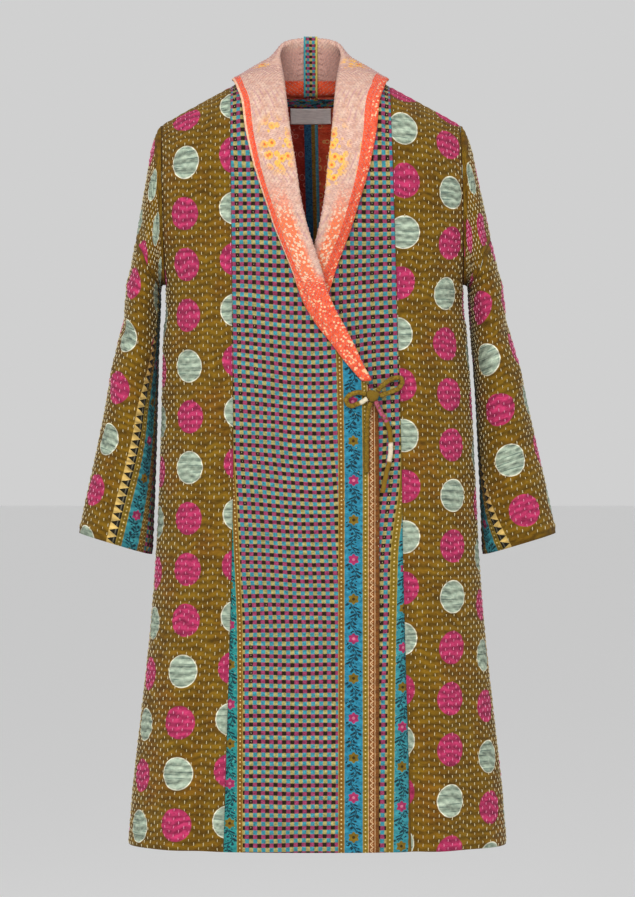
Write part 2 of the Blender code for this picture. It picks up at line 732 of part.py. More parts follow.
def clear_of_body(point, seam_x, own_side):
    """A point of the fall, brought forward where it would lie too near the front."""
    x = point.x - body("lean", point.z)
    if point.y > -0.010 or (x - seam_x) * own_side < -0.004 or point.z > ridge_level(x) - 0.003:
        return point
    q = arc_at_level(x, point.z)
    normal = form_normal(x, q)
    sink = wrap_sink(x, point.z) if own_side > 0 else 0.0
    limit = form_point(x, q).y + sink - FALL_CLEARANCE / max(-normal.y, 0.35)
    return Vector((point.x, min(point.y, limit), point.z))


def collar_section(entry, keys, own_side, share):
    """Middle line of the collar's section: stand, rolled edge and fall."""
    value = {key: table_value(keys, "arc", key, entry["arc"]) for key in COLLAR_COLUMNS}
    seam = entry["point"]
    x = entry["x"]
    q = entry["q"]
    normal_here = entry["normal"]
    roll_x = own_side * value["roll_x"] + body("lean", value["roll_z"])
    roll = Vector((roll_x, value["roll_y"], value["roll_z"]))
    if own_side > 0:
        hide = 1.0 - smoothstep(-0.230, -0.150, seam.z)
        proud = (seam.y + entry["sink"]) - roll.y
        roll.y = roll.y + entry["sink"] + proud * UNDER_COLLAR_EASE * hide
    back = q < -0.0007
    edge_x = x + own_side * value["over"]
    edge_q = q - value["down"] if back else q + value["down"]
    edge_q = edge_q if abs(edge_q) > 0.002 else (-0.002 if back else 0.002)
    edge_sink = wrap_sink(edge_x, seam.z) if own_side > 0 else 0.0
    clearance = FALL_CLEARANCE + NECK_LIFT * smoothstep(0.004, SHOULDER_TOP, seam.z) - edge_sink
    edge = form_point(edge_x, edge_q) + form_normal(edge_x, edge_q) * clearance
    start = seam - normal_here * WALL / 2
    toward = (roll - start)
    radius = ROLL_RADIUS + (ROLL_RADIUS_END - ROLL_RADIUS) * smoothstep(0.55, 1.0, share)
    across = toward.normalized()
    lift = edge - start
    outward = (lift - across * lift.dot(across))
    outward = outward.normalized()
    start = start + entry["away"] * COLLAR_GAP
    centre = roll - across * radius
    inside = centre - outward * radius
    outside = centre + outward * radius
    line = []
    for k in range(3):
        line.append(start + (inside - start) * k / 3)
    for k in range(5):
        angle = math.pi * k / 4
        line.append(centre - outward * radius * math.cos(angle) + across * radius * math.sin(angle))
    for k in range(1, 4):
        t = k / 3
        bow = math.sin(math.pi * t) * FALL_BOW * min(toward.length / 0.04, 1.0)
        line.append(clear_of_body(outside + (edge - outside) * t + outward * bow, x, own_side))
    return line


def collar_half(name, own_side, material, collection):
    line = neck_line(own_side)
    keys = collar_keys(line, own_side)
    total = line[-1]["arc"]
    middle = [collar_section(entry, keys, own_side, entry["arc"] / total) for entry in line]
    for point in middle[0]:
        point.x = own_side * SEAM_GAP / 2
    outer = []
    inner = []
    rows = len(middle)
    columns = len(middle[0])
    for i in range(rows):
        above = middle[max(i - 1, 0)]
        below = middle[min(i + 1, rows - 1)]
        out_row = []
        in_row = []
        for j in range(columns):
            along = (below[j] - above[j]).normalized()
            around = middle[i][min(j + 1, columns - 1)] - middle[i][max(j - 1, 0)]
            normal = along.cross(around).normalized() * own_side
            out_row.append(middle[i][j] + normal * WALL / 2)
            in_row.append(middle[i][j] - normal * WALL / 2)
        entry = line[i]
        seam_out = entry["point"] + entry["away"] * COLLAR_GAP
        seam_in = seam_out - entry["normal"] * WALL
        if (out_row[0] - in_row[0]).dot(entry["normal"]) > 0:
            out_row[0], in_row[0] = seam_out, seam_in
        else:
            out_row[0], in_row[0] = seam_in, seam_out
        outer.append(out_row)
        inner.append(in_row)
    for row in (outer[0], inner[0]):
        for point in row:
            point.x = own_side * SEAM_GAP / 2
    add_object(name, wall_mesh(name, outer, inner), material, collection)
    return outer, inner


# Strips and label on the inside of the back
def lining_point(skins, row, x):
    """Point on the inside of the back at a row, which may lie between two, and a place across."""
    index = min(int(row), len(skins[0]) - 2)
    share = row - index
    skin = skins[0] if x < 0 else skins[1]

    def across(points):
        shift = body("lean", points[0].z)
        for a, b in zip(points, points[1:]):
            if abs(x) <= abs(b.x - shift) or b is points[-1]:
                t = (x - (a.x - shift)) / (b.x - a.x)
                return a + (b - a) * t
        return points[-1]

    low = across(skin[index])
    high = across(skin[index + 1])
    return low + (high - low) * share


def strip(name, skins, places, low, high, material, collection):
    """A thin strip between two distances inside the back, over a grid of places (row, x)."""
    middle = [[lining_point(skins, row, x) for row, x in line] for line in places]
    outer = []
    inner = []
    for i, line in enumerate(middle):
        above = middle[max(i - 1, 0)]
        below = middle[min(i + 1, len(middle) - 1)]
        near = []
        far = []
        for j, point in enumerate(line):
            around = line[min(j + 1, len(line) - 1)] - line[max(j - 1, 0)]
            normal = around.cross(below[j] - above[j]).normalized()
            normal = normal if normal.y < 0 else -normal
            near.append(point + normal * low)
            far.append(point + normal * high)
        outer.append(near)
        inner.append(far)
    return add_object(name, wall_mesh(name, outer, inner), material, collection)


def back_strips(skins, materials, collection):
    binding = materials["binding"]
    cover_low = 2 * SEAM_GAP + STRIP_THICKNESS
    half = BACK_SEAM_STRIP / 2
    rows = [BACK_SEAM_TOP] + list(range(1, len(skins[0])))
    places = [[(i, -half), (i, 0.0), (i, half)] for i in rows]
    strip("back_seam_binding", skins, places, SEAM_GAP, SEAM_GAP + STRIP_THICKNESS, binding, collection)
    places = []
    for k in range(BINDING_STEPS + 1):
        x = BINDING_REACH * (2 * k / BINDING_STEPS - 1)
        places.append([(row, x) for row in BINDING_ROWS])
    strip("neck_binding", skins, places, cover_low, cover_low + STRIP_THICKNESS, binding, collection)
    places = []
    for k in range(LABEL_STEPS + 1):
        x = LABEL_HALF_WIDTH * (2 * k / LABEL_STEPS - 1)
        places.append([(row, x) for row in LABEL_ROWS])
    high = cover_low + LABEL_THICKNESS
    strip("label", skins, places, cover_low, high, materials["label"], collection)


def collar_seam_strip(skins, material, collection):
    """A strip over the collar's centre back seam, on the inner face of the stand."""
    (right_outer, right_inner), (left_outer, left_inner) = skins
    face = right_inner if right_inner[0][1].y < right_outer[0][1].y else right_outer
    line = [face[0][j] for j in range(0, 6)]
    outer = []
    inner = []
    for j, point in enumerate(line):
        step = line[min(j + 1, len(line) - 1)] - line[max(j - 1, 0)]
        normal = Vector((0, -step.z, step.y)).normalized()
        normal = normal if normal.y < 0 else -normal
        near = []
        far = []
        for k in range(5):
            x = COLLAR_STRIP * (k / 4 - 0.5)
            bend = (x / COLLAR_STRIP * 2) ** 2 * STRIP_BEND
            base = Vector((x, point.y - bend, point.z)) + normal * COLLAR_GAP
            near.append(base)
            far.append(base + normal * STRIP_THICKNESS)
        outer.append(near)
        inner.append(far)
    add_object("collar_seam_strip", wall_mesh("collar_seam_strip", outer, inner), material, collection)


# Waist tie
def knot_centre():
    x = KNOT["x"]
    q = arc_at_level(x, KNOT["z"])
    point = form_point(x, q)
    return Vector((point.x, point.y - KNOT["stand"], point.z))


def tie_knot(material, collection):
    bpy.ops.mesh.primitive_uv_sphere_add(segments=14, ring_count=9, radius=1.0, location=(0, 0, 0))
    item = bpy.context.object
    mesh = item.data
    centre = knot_centre()
    size = KNOT["size"]
    for vertex in mesh.vertices:
        x, y, z = vertex.co
        wrap = 1.0 + 0.10 * math.sin(3 * math.atan2(z, x) + 0.6) * (1 - abs(y))
        vertex.co = centre + Vector((x * size[0] * wrap, y * size[1], z * size[2] * wrap))
    item.location = (0, 0, 0)
    item.name = "tie_knot"
    mesh.name = "tie_knot"
    for owner in list(item.users_collection):
        owner.objects.unlink(item)
    mesh.materials.append(material)
    mesh.shade_smooth()
    collection.objects.link(item)


def tie_strand(name, offsets, material, collection):
    centre = knot_centre()
    route = []
    for across, up, forward in offsets:
        x = KNOT["x"] + across
        z = KNOT["z"] + up
        surface = form_point(x, arc_at_level(x, z))
        route.append(Vector((surface.x, surface.y - KNOT["stand"] - forward, z)))
    length = sum((b - a).length for a, b in zip(route, route[1:]))
    count = max(int(length / (2.0 * TIE_THICKNESS)) + 1, 6)
    curve = bpy.data.curves.new(name, "CURVE")
    curve.dimensions = "3D"
    curve.bevel_depth = TIE_THICKNESS / 2
    curve.bevel_resolution = 2
    curve.use_fill_caps = True
    line = curve.splines.new("POLY")
    line.points.add(count)
    for k in range(count + 1):
        line.points[k].co = (*spline(route, k / count), 1.0)
    item = bpy.data.objects.new(name, curve)
    curve.materials.append(material)
    collection.objects.link(item)


def main():
    remove_objects()
    collection = bpy.data.collections.new("quilted_coat")
    bpy.context.scene.collection.children.link(collection)
    materials = {name: make_material(name) for name in COLOURS}
    back_skins = []
    for side_name, own_side in (("right", -1), ("left", 1)):
        front_panel("front_%s_side" % side_name, own_side, "side", materials["olive"], collection)
        front_panel("front_%s_centre" % side_name, own_side, "centre", materials["check"], collection)
        back_skins.append(back_panel("back_%s" % side_name, own_side, materials["olive"], collection))
        sleeve_pieces(side_name, own_side, materials["olive"], collection)
    skins = [collar_half("collar_%s" % side_name, own_side, materials["collar"], collection)
             for side_name, own_side in (("right", -1), ("left", 1))]
    collar_seam_strip(skins, materials["check"], collection)
    back_strips(back_skins, materials, collection)
    tie_knot(materials["tie"], collection)
    for name, offsets in TIE_STRANDS.items():
        tie_strand(name, offsets, materials["tie"], collection)


main()
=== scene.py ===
# A hand-quilted wrap coat with a shawl collar, dropped sleeves and a waist tie, dressed for its picture.
# The forms repeat the solids of the part. The wearer faces -Y and the wearer's left is +X.
import math

import bmesh
import bpy
import numpy as np
from mathutils import Matrix, Vector


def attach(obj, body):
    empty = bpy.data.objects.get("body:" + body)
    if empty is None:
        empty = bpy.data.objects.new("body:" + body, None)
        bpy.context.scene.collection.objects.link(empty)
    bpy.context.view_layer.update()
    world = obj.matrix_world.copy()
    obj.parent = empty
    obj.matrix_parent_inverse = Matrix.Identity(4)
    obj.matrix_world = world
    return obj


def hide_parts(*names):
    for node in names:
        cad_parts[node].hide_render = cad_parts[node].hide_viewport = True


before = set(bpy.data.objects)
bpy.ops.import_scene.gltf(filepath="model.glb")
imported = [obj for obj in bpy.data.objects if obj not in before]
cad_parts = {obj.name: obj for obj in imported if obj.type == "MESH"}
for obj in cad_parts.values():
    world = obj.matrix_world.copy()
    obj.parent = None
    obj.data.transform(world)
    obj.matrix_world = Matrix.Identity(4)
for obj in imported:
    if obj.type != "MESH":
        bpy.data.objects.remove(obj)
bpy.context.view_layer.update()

wall = 0.0022
seamGap = 0.0003
turn = 2 * math.pi


def addObject(name, data):
    item = bpy.data.objects.new(name, data)
    bpy.context.scene.collection.objects.link(item)
    return item


# Camera at the photograph's height, straight in front
view = {"x": 0.0091, "away": 5.5, "z": -0.459, "lens": 169.1, "sensor": 36.0}
camera = addObject("camera", bpy.data.cameras.new("camera"))
camera.location = (view["x"], -view["away"], view["z"])
camera.rotation_euler = (math.pi / 2, 0, 0)
camera.data.lens = view["lens"]
camera.data.sensor_width = view["sensor"]
bpy.context.scene.camera = camera

form = {
    "shoulderTop": 0.018, "shoulderSlope": 0.54, "neckHalfWidth": 0.090, "backNeckDrop": 0.012,
    "hem": -0.973, "ridgeDrop": 0.115, "ridgeArc": 0.180, "ridgePower": 2.4, "sectionPower": 2.4,
    "armhole": 0.1938, "bulge": 0.014, "underarm": -0.245, "shoulderPoint": -0.0370,
    "frontEdge": 0.0784, "wrapFrom": 0.062, "wrapTo": 0.108, "tie": -0.3916,
}

# Height, half width, depth in front, depth behind and sideways lean of the body
bodyRows = np.array([
    (-0.980, 0.2460, 0.147, 0.138, 0.009), (-0.904, 0.2400, 0.143, 0.134, 0.009),
    (-0.800, 0.2284, 0.138, 0.129, 0.009), (-0.700, 0.2175, 0.133, 0.124, 0.009),
    (-0.600, 0.2098, 0.128, 0.120, 0.009), (-0.500, 0.2050, 0.124, 0.115, 0.009),
    (-0.400, 0.2010, 0.122, 0.112, 0.008), (-0.310, 0.1968, 0.122, 0.114, 0.006),
    (-0.275, 0.1938, 0.122, 0.115, 0.0055), (-0.245, 0.1938, 0.122, 0.116, 0.005),
    (-0.150, 0.1938, 0.121, 0.118, 0.003), (0.000, 0.1938, 0.118, 0.118, 0.000),
    (0.100, 0.1938, 0.118, 0.118, 0.000),
])
bodyColumns = {"half": 1, "front": 2, "back": 3, "lean": 4}

# Height and place of the seam between side cloth and centre cloth
panelSeam = np.array([(-0.980, 0.1200), (-0.620, 0.1100), (-0.400, 0.1070), (0.020, 0.1025)])

# Height and place of the neck and lapel seam, past the centre line on its own side
lapelSeam = np.array([
    (-0.980, -0.0784), (-0.400, -0.0784), (-0.386, -0.0710), (-0.3755, -0.0635), (-0.361, -0.0540),
    (-0.342, -0.0410), (-0.3165, -0.0235), (-0.2965, -0.0100), (-0.2685, 0.0050), (-0.2245, 0.0190),
    (-0.172, 0.0390), (-0.145, 0.0475), (-0.115, 0.0565), (-0.085, 0.0640), (-0.048, 0.0735),
    (-0.017, 0.0810), (0.018, 0.0900),
])

# Height and depth of the under front inside the top front
wrapDepths = np.array([
    (-0.980, 0.0052), (-0.430, 0.0060), (-0.380, 0.0120), (-0.300, 0.0170), (-0.235, 0.0180),
    (-0.200, 0.0140), (-0.160, 0.0060), (-0.110, 0.0000), (0.100, 0.0000),
])

# Side, place on the girth, top, full depth reached, swell and width of each fold down the cloth
folds = [
    (1, 0.126, -0.560, -0.760, -0.0075, 0.014), (1, 0.158, -0.540, -0.820, 0.0080, 0.022),
    (1, 0.200, -0.620, -0.900, -0.0070, 0.020), (1, -0.150, -0.600, -0.860, -0.0065, 0.018),
    (1, -0.190, -0.560, -0.880, 0.0080, 0.022), (-1, -0.145, -0.520, -0.850, 0.0090, 0.026),
    (-1, -0.075, -0.480, -0.800, -0.0080, 0.024), (-1, 0.060, -0.560, -0.860, -0.0075, 0.024),
    (-1, 0.130, -0.500, -0.820, 0.0090, 0.028),
]


def smoothStep(low, high, value):
    t = np.clip((value - low) / (high - low), 0.0, 1.0)
    return t * t * (3.0 - 2.0 * t)


# Smooth reading of a column of values between sorted keys
def readCurve(keys, values, at):
    last = len(keys) - 1
    places = np.arange(last + 1)
    low = np.maximum(places - 1, 0)
    high = np.minimum(places + 1, last)
    slopes = (values[high] - values[low]) / (keys[high] - keys[low])
    at = np.asarray(at, dtype=float)
    index = np.clip(np.searchsorted(keys, at, side="right") - 1, 0, last - 1)
    span = keys[index + 1] - keys[index]
    t = np.clip((at - keys[index]) / span, 0.0, 1.0)
    rise = (values[index + 1] - values[index]) * t * t * (3.0 - 2.0 * t)
    bend = slopes[index] * span * t * (1 - t) ** 2 - slopes[index + 1] * span * t * t * (1 - t)
    return values[index] + rise + bend


# Reading of a table whose first column is the key
def readTable(table, at, column=1):
    return readCurve(table[:, 0], table[:, column], at)


def body(column, z):
    return readTable(bodyRows, z, bodyColumns[column])


# Length of the way along a grid of points, from its first row or column
def wayAlong(points, axis=0):
    steps = np.linalg.norm(np.diff(points, axis=axis), axis=-1)
    start = np.zeros_like(np.take(steps, [0], axis=axis))
    return np.concatenate([start, np.cumsum(steps, axis=axis)], axis=axis)


# Points of a line at the wanted lengths along it
def pointsAt(want, lengths, line):
    return np.stack([np.interp(want, lengths, line[:, k]) for k in range(3)], axis=-1)


def arcToDrop(q):
    q = np.abs(q)
    angle = np.minimum(q / form["ridgeArc"], 1.0) * math.pi / 2
    curve = 2.0 / form["ridgePower"]
    near = form["ridgeDrop"] * (1.0 - np.maximum(np.cos(angle), 0.0) ** curve)
    drop = np.where(q < form["ridgeArc"], near, form["ridgeDrop"] + q - form["ridgeArc"])
    return drop, np.where(q < form["ridgeArc"], np.sin(angle) ** curve, 1.0)


def ridgeLevel(x):
    return form["shoulderTop"] - form["shoulderSlope"] * np.maximum(np.abs(x) - form["neckHalfWidth"], 0.0)


def formLevel(x, q):
    flat = form["shoulderTop"] - arcToDrop(q)[0]
    tilt = smoothStep(-0.190, form["shoulderTop"], flat)
    return flat + tilt * (ridgeLevel(x) - form["shoulderTop"])


def formHalf(z):
    share = np.clip((z - form["underarm"]) / (form["shoulderPoint"] - form["underarm"]), 0.0, 0.5)
    return body("half", z) + form["bulge"] * np.sin(math.pi * share) ** 0.9


# Points on the outside of the body form. A negative arc q lies on the back.
def formPoints(x, q):
    x, q = np.broadcast_arrays(np.asarray(x, dtype=float), np.asarray(q, dtype=float))
    z = formLevel(x, q)
    front = q >= 0
    share = np.minimum(np.abs(x) / formHalf(z), 1.0)
    reach = (1.0 - share ** form["sectionPower"]) ** (1.0 / form["sectionPower"])
    swell = np.zeros_like(x)
    for side, place, top, full, height, width in folds:
        strength = 1.0 - smoothStep(full, top, z)
        bump = height * strength * np.exp(-((x - place) / width) ** 2)
        swell += np.where(front == (side > 0), bump, 0.0)
    depth = np.where(front, body("front", z), body("back", z))
    y = (depth + swell * np.minimum(reach * 2.5, 1.0)) * reach * arcToDrop(q)[1]
    return np.stack([x + body("lean", z), np.where(front, -y, y), z], axis=-1)


def unit(vectors):
    length = np.linalg.norm(vectors, axis=-1, keepdims=True)
    return vectors / np.maximum(length, 1e-9)


# Outward directions of the body form, from short steps along it
def formNormals(x, q):
    step = 0.0015
    x, q = np.broadcast_arrays(np.asarray(x, dtype=float), np.asarray(q, dtype=float))
    side = np.where(q >= 0, 1.0, -1.0)
    room = formHalf(formLevel(x, q)) - np.abs(x)
    span = np.minimum(step, np.maximum(room, 0.0001) * 0.8)
    along = formPoints(x + span, q) - formPoints(x - span, q)
    safe = np.where(np.abs(q) < 2 * step, side * 2.1 * step, q)
    down = formPoints(x, safe + step) - formPoints(x, safe - step)
    ridge = np.zeros_like(along)
    ridge[..., 1] = -side
    down = np.where((np.abs(q) < 2 * step)[..., None], ridge, down)
    normal = unit(np.cross(along, down))
    outward = np.stack([x * 0.2, -side, np.full_like(x, 0.05)], axis=-1)
    test = np.where(np.abs(q) < 2 * step, normal[..., 2], np.sum(normal * outward, axis=-1))
    normal = np.where((test > 0)[..., None], normal, -normal)
    edge = np.zeros_like(normal)
    edge[..., 0] = np.where(x >= 0, 1.0, -1.0)
    return np.where((room < step / 2)[..., None], edge, normal)


def sideLimit(ownSide, q):
    x = np.full_like(q, form["armhole"])
    for _ in range(6):
        z = formLevel(x, q)
        x = np.where(z < form["underarm"], body("half", z), form["armhole"])
    return ownSide * x


def seamPlace(table, q, ownSide):
    x = np.full_like(q, table[-1, 1])
    for _ in range(6):
        x = readTable(table, formLevel(x * ownSide, q))
    return x * ownSide


# Arc down the front at which the cloth over x reaches a level
def arcAtLevel(x, z):
    low = np.zeros_like(x)
    high = np.full_like(x, 1.2)
    for _ in range(40):
        middle = (low + high) / 2
        above = formLevel(x, middle) > z
        low = np.where(above, middle, low)
        high = np.where(above, high, middle)
    return (low + high) / 2


# How far the under front lies inside the body form
def wrapSink(x, z):
    depth = np.maximum(readTable(wrapDepths, z), 0.0)
    return depth * (1.0 - smoothStep(form["wrapFrom"], form["wrapTo"], x))


# Places across rows of the form, even along the cloth, with the arc from each row's grain line
def evenRows(x0, x1, q, count, grain):
    samples = 160
    power = form["sectionPower"]
    half = formHalf(formLevel((x0 + x1) / 2, q))
    ends = []
    for x in (x0, x1):
        share = np.minimum(np.abs(x) / np.maximum(half, np.abs(x)), 1.0)
        ends.append(np.copysign(np.arcsin(share ** (power / 2)), x))
    t = np.linspace(0.0, 1.0, samples + 1)
    angle = ends[0][:, None] + (ends[1] - ends[0])[:, None] * t
    places = np.copysign(np.abs(np.sin(angle)) ** (2 / power), angle)
    first, last = places[:, :1], places[:, -1:]
    places = x0[:, None] + (x1 - x0)[:, None] * (places - first) / (last - first)
    lengths = wayAlong(formPoints(places, q[:, None]), 1)
    want = np.linspace(0.0, 1.0, count + 1)
    xs = np.empty((len(q), count + 1))
    arcs = np.empty_like(xs)
    for i in range(len(q)):
        xs[i] = np.interp(want * lengths[i, -1], lengths[i], places[i])
        order = slice(None) if x1[i] > x0[i] else slice(None, None, -1)
        base = np.interp(grain[i], places[i][order], lengths[i][order])
        beyond = grain[i] - np.clip(grain[i], min(x0[i], x1[i]), max(x0[i], x1[i]))
        base += beyond * (1 if x1[i] > x0[i] else -1)
        arcs[i] = want * lengths[i, -1] - base
    return xs, arcs * np.where(x1 > x0, 1.0, -1.0)[:, None]


# Quilting: cloth pressed down at every stitch and puffed between them
quilt = {"column": 0.0067, "pitch": 0.0108, "puff": 0.0015, "drift": 0.30}


def softNoise(u, v, size, seed):
    total = np.zeros_like(u)
    for k in range(4):
        angle = seed * 1.7 + k * 2.4
        scale = turn / size * (0.7 + 0.23 * k)
        wave = np.sin(scale * (u * math.cos(angle) + v * math.sin(angle)) + seed * 3.1 + k)
        total += wave * np.cos(scale * 0.6 * (v * math.cos(angle) - u * math.sin(angle)) + k * 1.3)
    return total / 4


def quiltHeight(u, v):
    across = np.cos(math.pi * u / quilt["column"])
    down = np.cos(turn * (v + 0.0012 * softNoise(u, v, 0.06, 2)) / quilt["pitch"])
    puff = 0.5 + 0.5 * across * down
    ridge = 0.5 + 0.5 * np.cos(turn * v / quilt["pitch"] * 1.02 + 4 * softNoise(u, v, 0.05, 5))
    size = 1.0 + quilt["drift"] * softNoise(u, v, 0.045, 9)
    return quilt["puff"] * size * (0.45 * puff + 0.70 * ridge)


# A cloth wall: a fine outer grid over a coarser inner grid, closed along its rims.
# Each grid of texture places has one column more than a closed wall, so that its seam is clean.
def wallObject(name, outer, inner, maps, materials, closed=False, relief=None):
    step = 2
    rows, columns = outer.shape[:2]
    coarse = inner[::step, ::step]
    vertices = np.concatenate([outer.reshape(-1, 3), coarse.reshape(-1, 3)]).tolist()
    base = rows * columns
    innerColumns = coarse.shape[1]
    mapColumns = maps[0].shape[1]
    faces = []
    corners = []
    slots = []

    def addFace(places, slot):
        face = []
        for deep, i, j in places:
            if deep:
                face.append(base + (i // step) * innerColumns + (j // step) % innerColumns)
            else:
                face.append(i * columns + j % columns)
            corners.append(i * mapColumns + j)
        faces.append(face)
        slots.append(slot)

    across = columns if closed else columns - 1
    for i in range(rows - 1):
        for j in range(across):
            addFace([(0, i, j), (0, i, j + 1), (0, i + 1, j + 1), (0, i + 1, j)], 0)
    for i in range(0, rows - 1, step):
        for j in range(0, across, step):
            k = j + step
            addFace([(1, i, j), (1, i + step, j), (1, i + step, k), (1, i, k)], 1)
    for i in (0, rows - 1):
        for j in range(0, across, step):
            edge = [(0, i, j + k) for k in range(step + 1)]
            addFace(edge + [(1, i, j + step), (1, i, j)], 0)
    if not closed:
        for j in (0, columns - 1):
            for i in range(0, rows - 1, step):
                edge = [(0, i + k, j) for k in range(step + 1)]
                addFace(edge + [(1, i + step, j), (1, i, j)], 0)
    mesh = bpy.data.meshes.new(name)
    mesh.from_pydata(vertices, [], faces)
    mesh.polygons.foreach_set("material_index", slots)
    corners = np.array(corners)
    for label, grid in zip(("cloth", "band"), maps):
        layer = mesh.uv_layers.new(name=label)
        layer.data.foreach_set("uv", grid.reshape(-1, 2)[corners].ravel())
    outwardFaces(mesh)
    if relief is not None:
        layer = mesh.attributes.new("relief", "FLOAT", "POINT")
        layer.data.foreach_set("value", np.append(relief.ravel(), np.full(coarse.size // 3, 0.5)))
    return addPiece(name, mesh, materials)


def addPiece(name, mesh, materials):
    mesh.shade_smooth()
    for material in materials:
        mesh.materials.append(material)
    return addObject(name, mesh)


# Soft creases: from and to in x and z, width and height, tapered at both ends
def creaseHeight(creases, x, z):
    total = np.zeros_like(x)
    for x0, z0, x1, z1, width, height in creases:
        length = math.hypot(x1 - x0, z1 - z0)
        alongX = (x1 - x0) / length
        alongZ = (z1 - z0) / length
        along = (x - x0) * alongX + (z - z0) * alongZ
        off = (x - x0) * alongZ - (z - z0) * alongX
        off = off + 0.12 * width * np.sin(along * 40 + x0 * 90)
        taper = np.sin(np.clip(along / length, 0.0, 1.0) * math.pi) ** 0.8
        total += height * taper * np.exp(-(off / width) ** 2)
    return total


# Rows and column width of the grids, reach of the seams' press, first arc, and widths of the panels
panel = {
    "rows": 392, "columnSize": 0.00335, "press": 0.0055, "top": 0.0006,
    "side": 0.150, "centre": 0.185, "back": 0.282,
}
hemArc = form["ridgeArc"] + form["shoulderTop"] - form["ridgeDrop"] - form["hem"]
# Height and place of the first column of dots, and of the outer line of the check, on each front
dotLines = {
    -1: np.array([(-0.980, -0.1150), (-0.800, -0.1095), (-0.735, -0.1060), (-0.670, -0.1025),
                  (-0.540, -0.1003), (-0.410, -0.0978), (-0.280, -0.1003), (-0.085, -0.0980),
                  (0.020, -0.0970)]),
    1: np.array([(-0.980, 0.1020), (-0.830, 0.1040), (-0.770, 0.1045), (-0.700, 0.1080), (-0.570, 0.1110),
                 (-0.500, 0.1115), (-0.375, 0.1085), (-0.310, 0.1045), (-0.245, 0.1085), (-0.180, 0.1165),
                 (0.020, 0.1180)]),
}
checkLines = {
    -1: np.array([(-0.980, -0.095), (-0.700, -0.095), (-0.600, -0.0989), (-0.500, -0.104), (-0.450, -0.107),
                  (0.020, -0.107)]),
    1: np.array([(-0.980, 0.0872), (-0.600, 0.0938), (-0.500, 0.105), (-0.450, 0.107), (0.020, 0.107)]),
}
drape = {"x": -0.005, "width": 0.075, "drop": 0.012}

frontCreases = {
    -1: [(0.050, -0.400, -0.060, -0.520, 0.010, -0.0030), (0.020, -0.370, -0.110, -0.420, 0.012, -0.0022),
         (0.055, -0.420, 0.010, -0.640, 0.011, 0.0026), (-0.020, -0.200, -0.120, -0.330, 0.014, 0.0022),
         (-0.060, -0.120, -0.130, -0.230, 0.012, -0.0020)],
    1: [(0.095, -0.400, 0.150, -0.470, 0.010, -0.0026), (0.100, -0.380, 0.180, -0.360, 0.012, -0.0020),
        (0.085, -0.420, 0.098, -0.640, 0.009, -0.0030), (0.120, -0.180, 0.170, -0.300, 0.014, 0.0020)],
}
backCreases = [
    (-0.080, -0.120, -0.165, -0.250, 0.016, -0.0026), (0.070, -0.130, 0.160, -0.240, 0.016, -0.0024),
    (-0.130, -0.340, 0.010, -0.400, 0.014, -0.0024), (0.140, -0.350, 0.020, -0.420, 0.014, -0.0026),
    (-0.020, -0.430, -0.050, -0.700, 0.018, 0.0030), (0.030, -0.440, 0.010, -0.760, 0.016, 0.0028),
]


# How much of the quilting is left near the rims of a panel, where its seams press it flat
def pressedRims(rows, columns, width, height):
    i = np.arange(rows)[:, None] * height
    j = np.arange(columns)[None, :] * width
    keep = 1.0
    for room in (np.minimum(j, (columns - 1) * width - j), i, (rows - 1) * height - i):
        keep = keep * smoothStep(-0.002, panel["press"], room)
    return keep


# Height of the quilting over each point, from 0 in the stitches to 1 on the puffs. The cloth materials paint
# shade in its hollows from it.
def reliefOf(height, keep):
    return height / quilt["puff"] * keep + 0.55 * (1.0 - keep)


# Place of the print down a front: level near the shoulder, as the cloth hangs, and along the cloth below
def printDown(q, z):
    steps = np.clip(-np.diff(z, axis=0) / np.diff(q)[:, None], 0.7, 1.0) * np.diff(q)[:, None]
    above = np.cumsum(steps[::-1], axis=0)[::-1]
    return q[-1] - np.concatenate([above, np.zeros((1, z.shape[1]))], axis=0)


# Columns of a panel, in fours
def evenColumns(width):
    return max(round(width / panel["columnSize"] / 4), 1) * 4


# Walls a body panel: quilted and creased outside, plain inside, flat where it meets another piece
def bodyWall(name, x, q, u, v, points, normals, creases, ridge, options, materials):
    points[..., 1] = np.where(ridge, options["level"], points[..., 1])
    inner = points + normals * (creases * 0.8 - wall)[..., None]
    inner[..., 1] = np.where(ridge, options["level"], inner[..., 1])
    columns = x.shape[1] - 1
    keep = pressedRims(len(q), columns + 1, options["width"] / columns, q[1] - q[0])
    height = quiltHeight(u, v) * keep
    relief = reliefOf(height, keep)
    height += creases * smoothStep(0.0, 0.5, keep)
    outer = points + normals * height[..., None]
    if options["armhole"]:
        plain = (np.abs(x - x[:, -1:]) < 0.004) & (points[..., 2] > form["underarm"] - 0.050)
        outer[..., 0] = np.where(plain, points[..., 0], outer[..., 0])
    maps = options["maps"]
    item = wallObject(name, outer, inner, maps, materials, relief=relief)
    return item, {"skin": outer, "normals": gridNormals(outer, normals), "u": u, "v": maps[0][..., 1]}


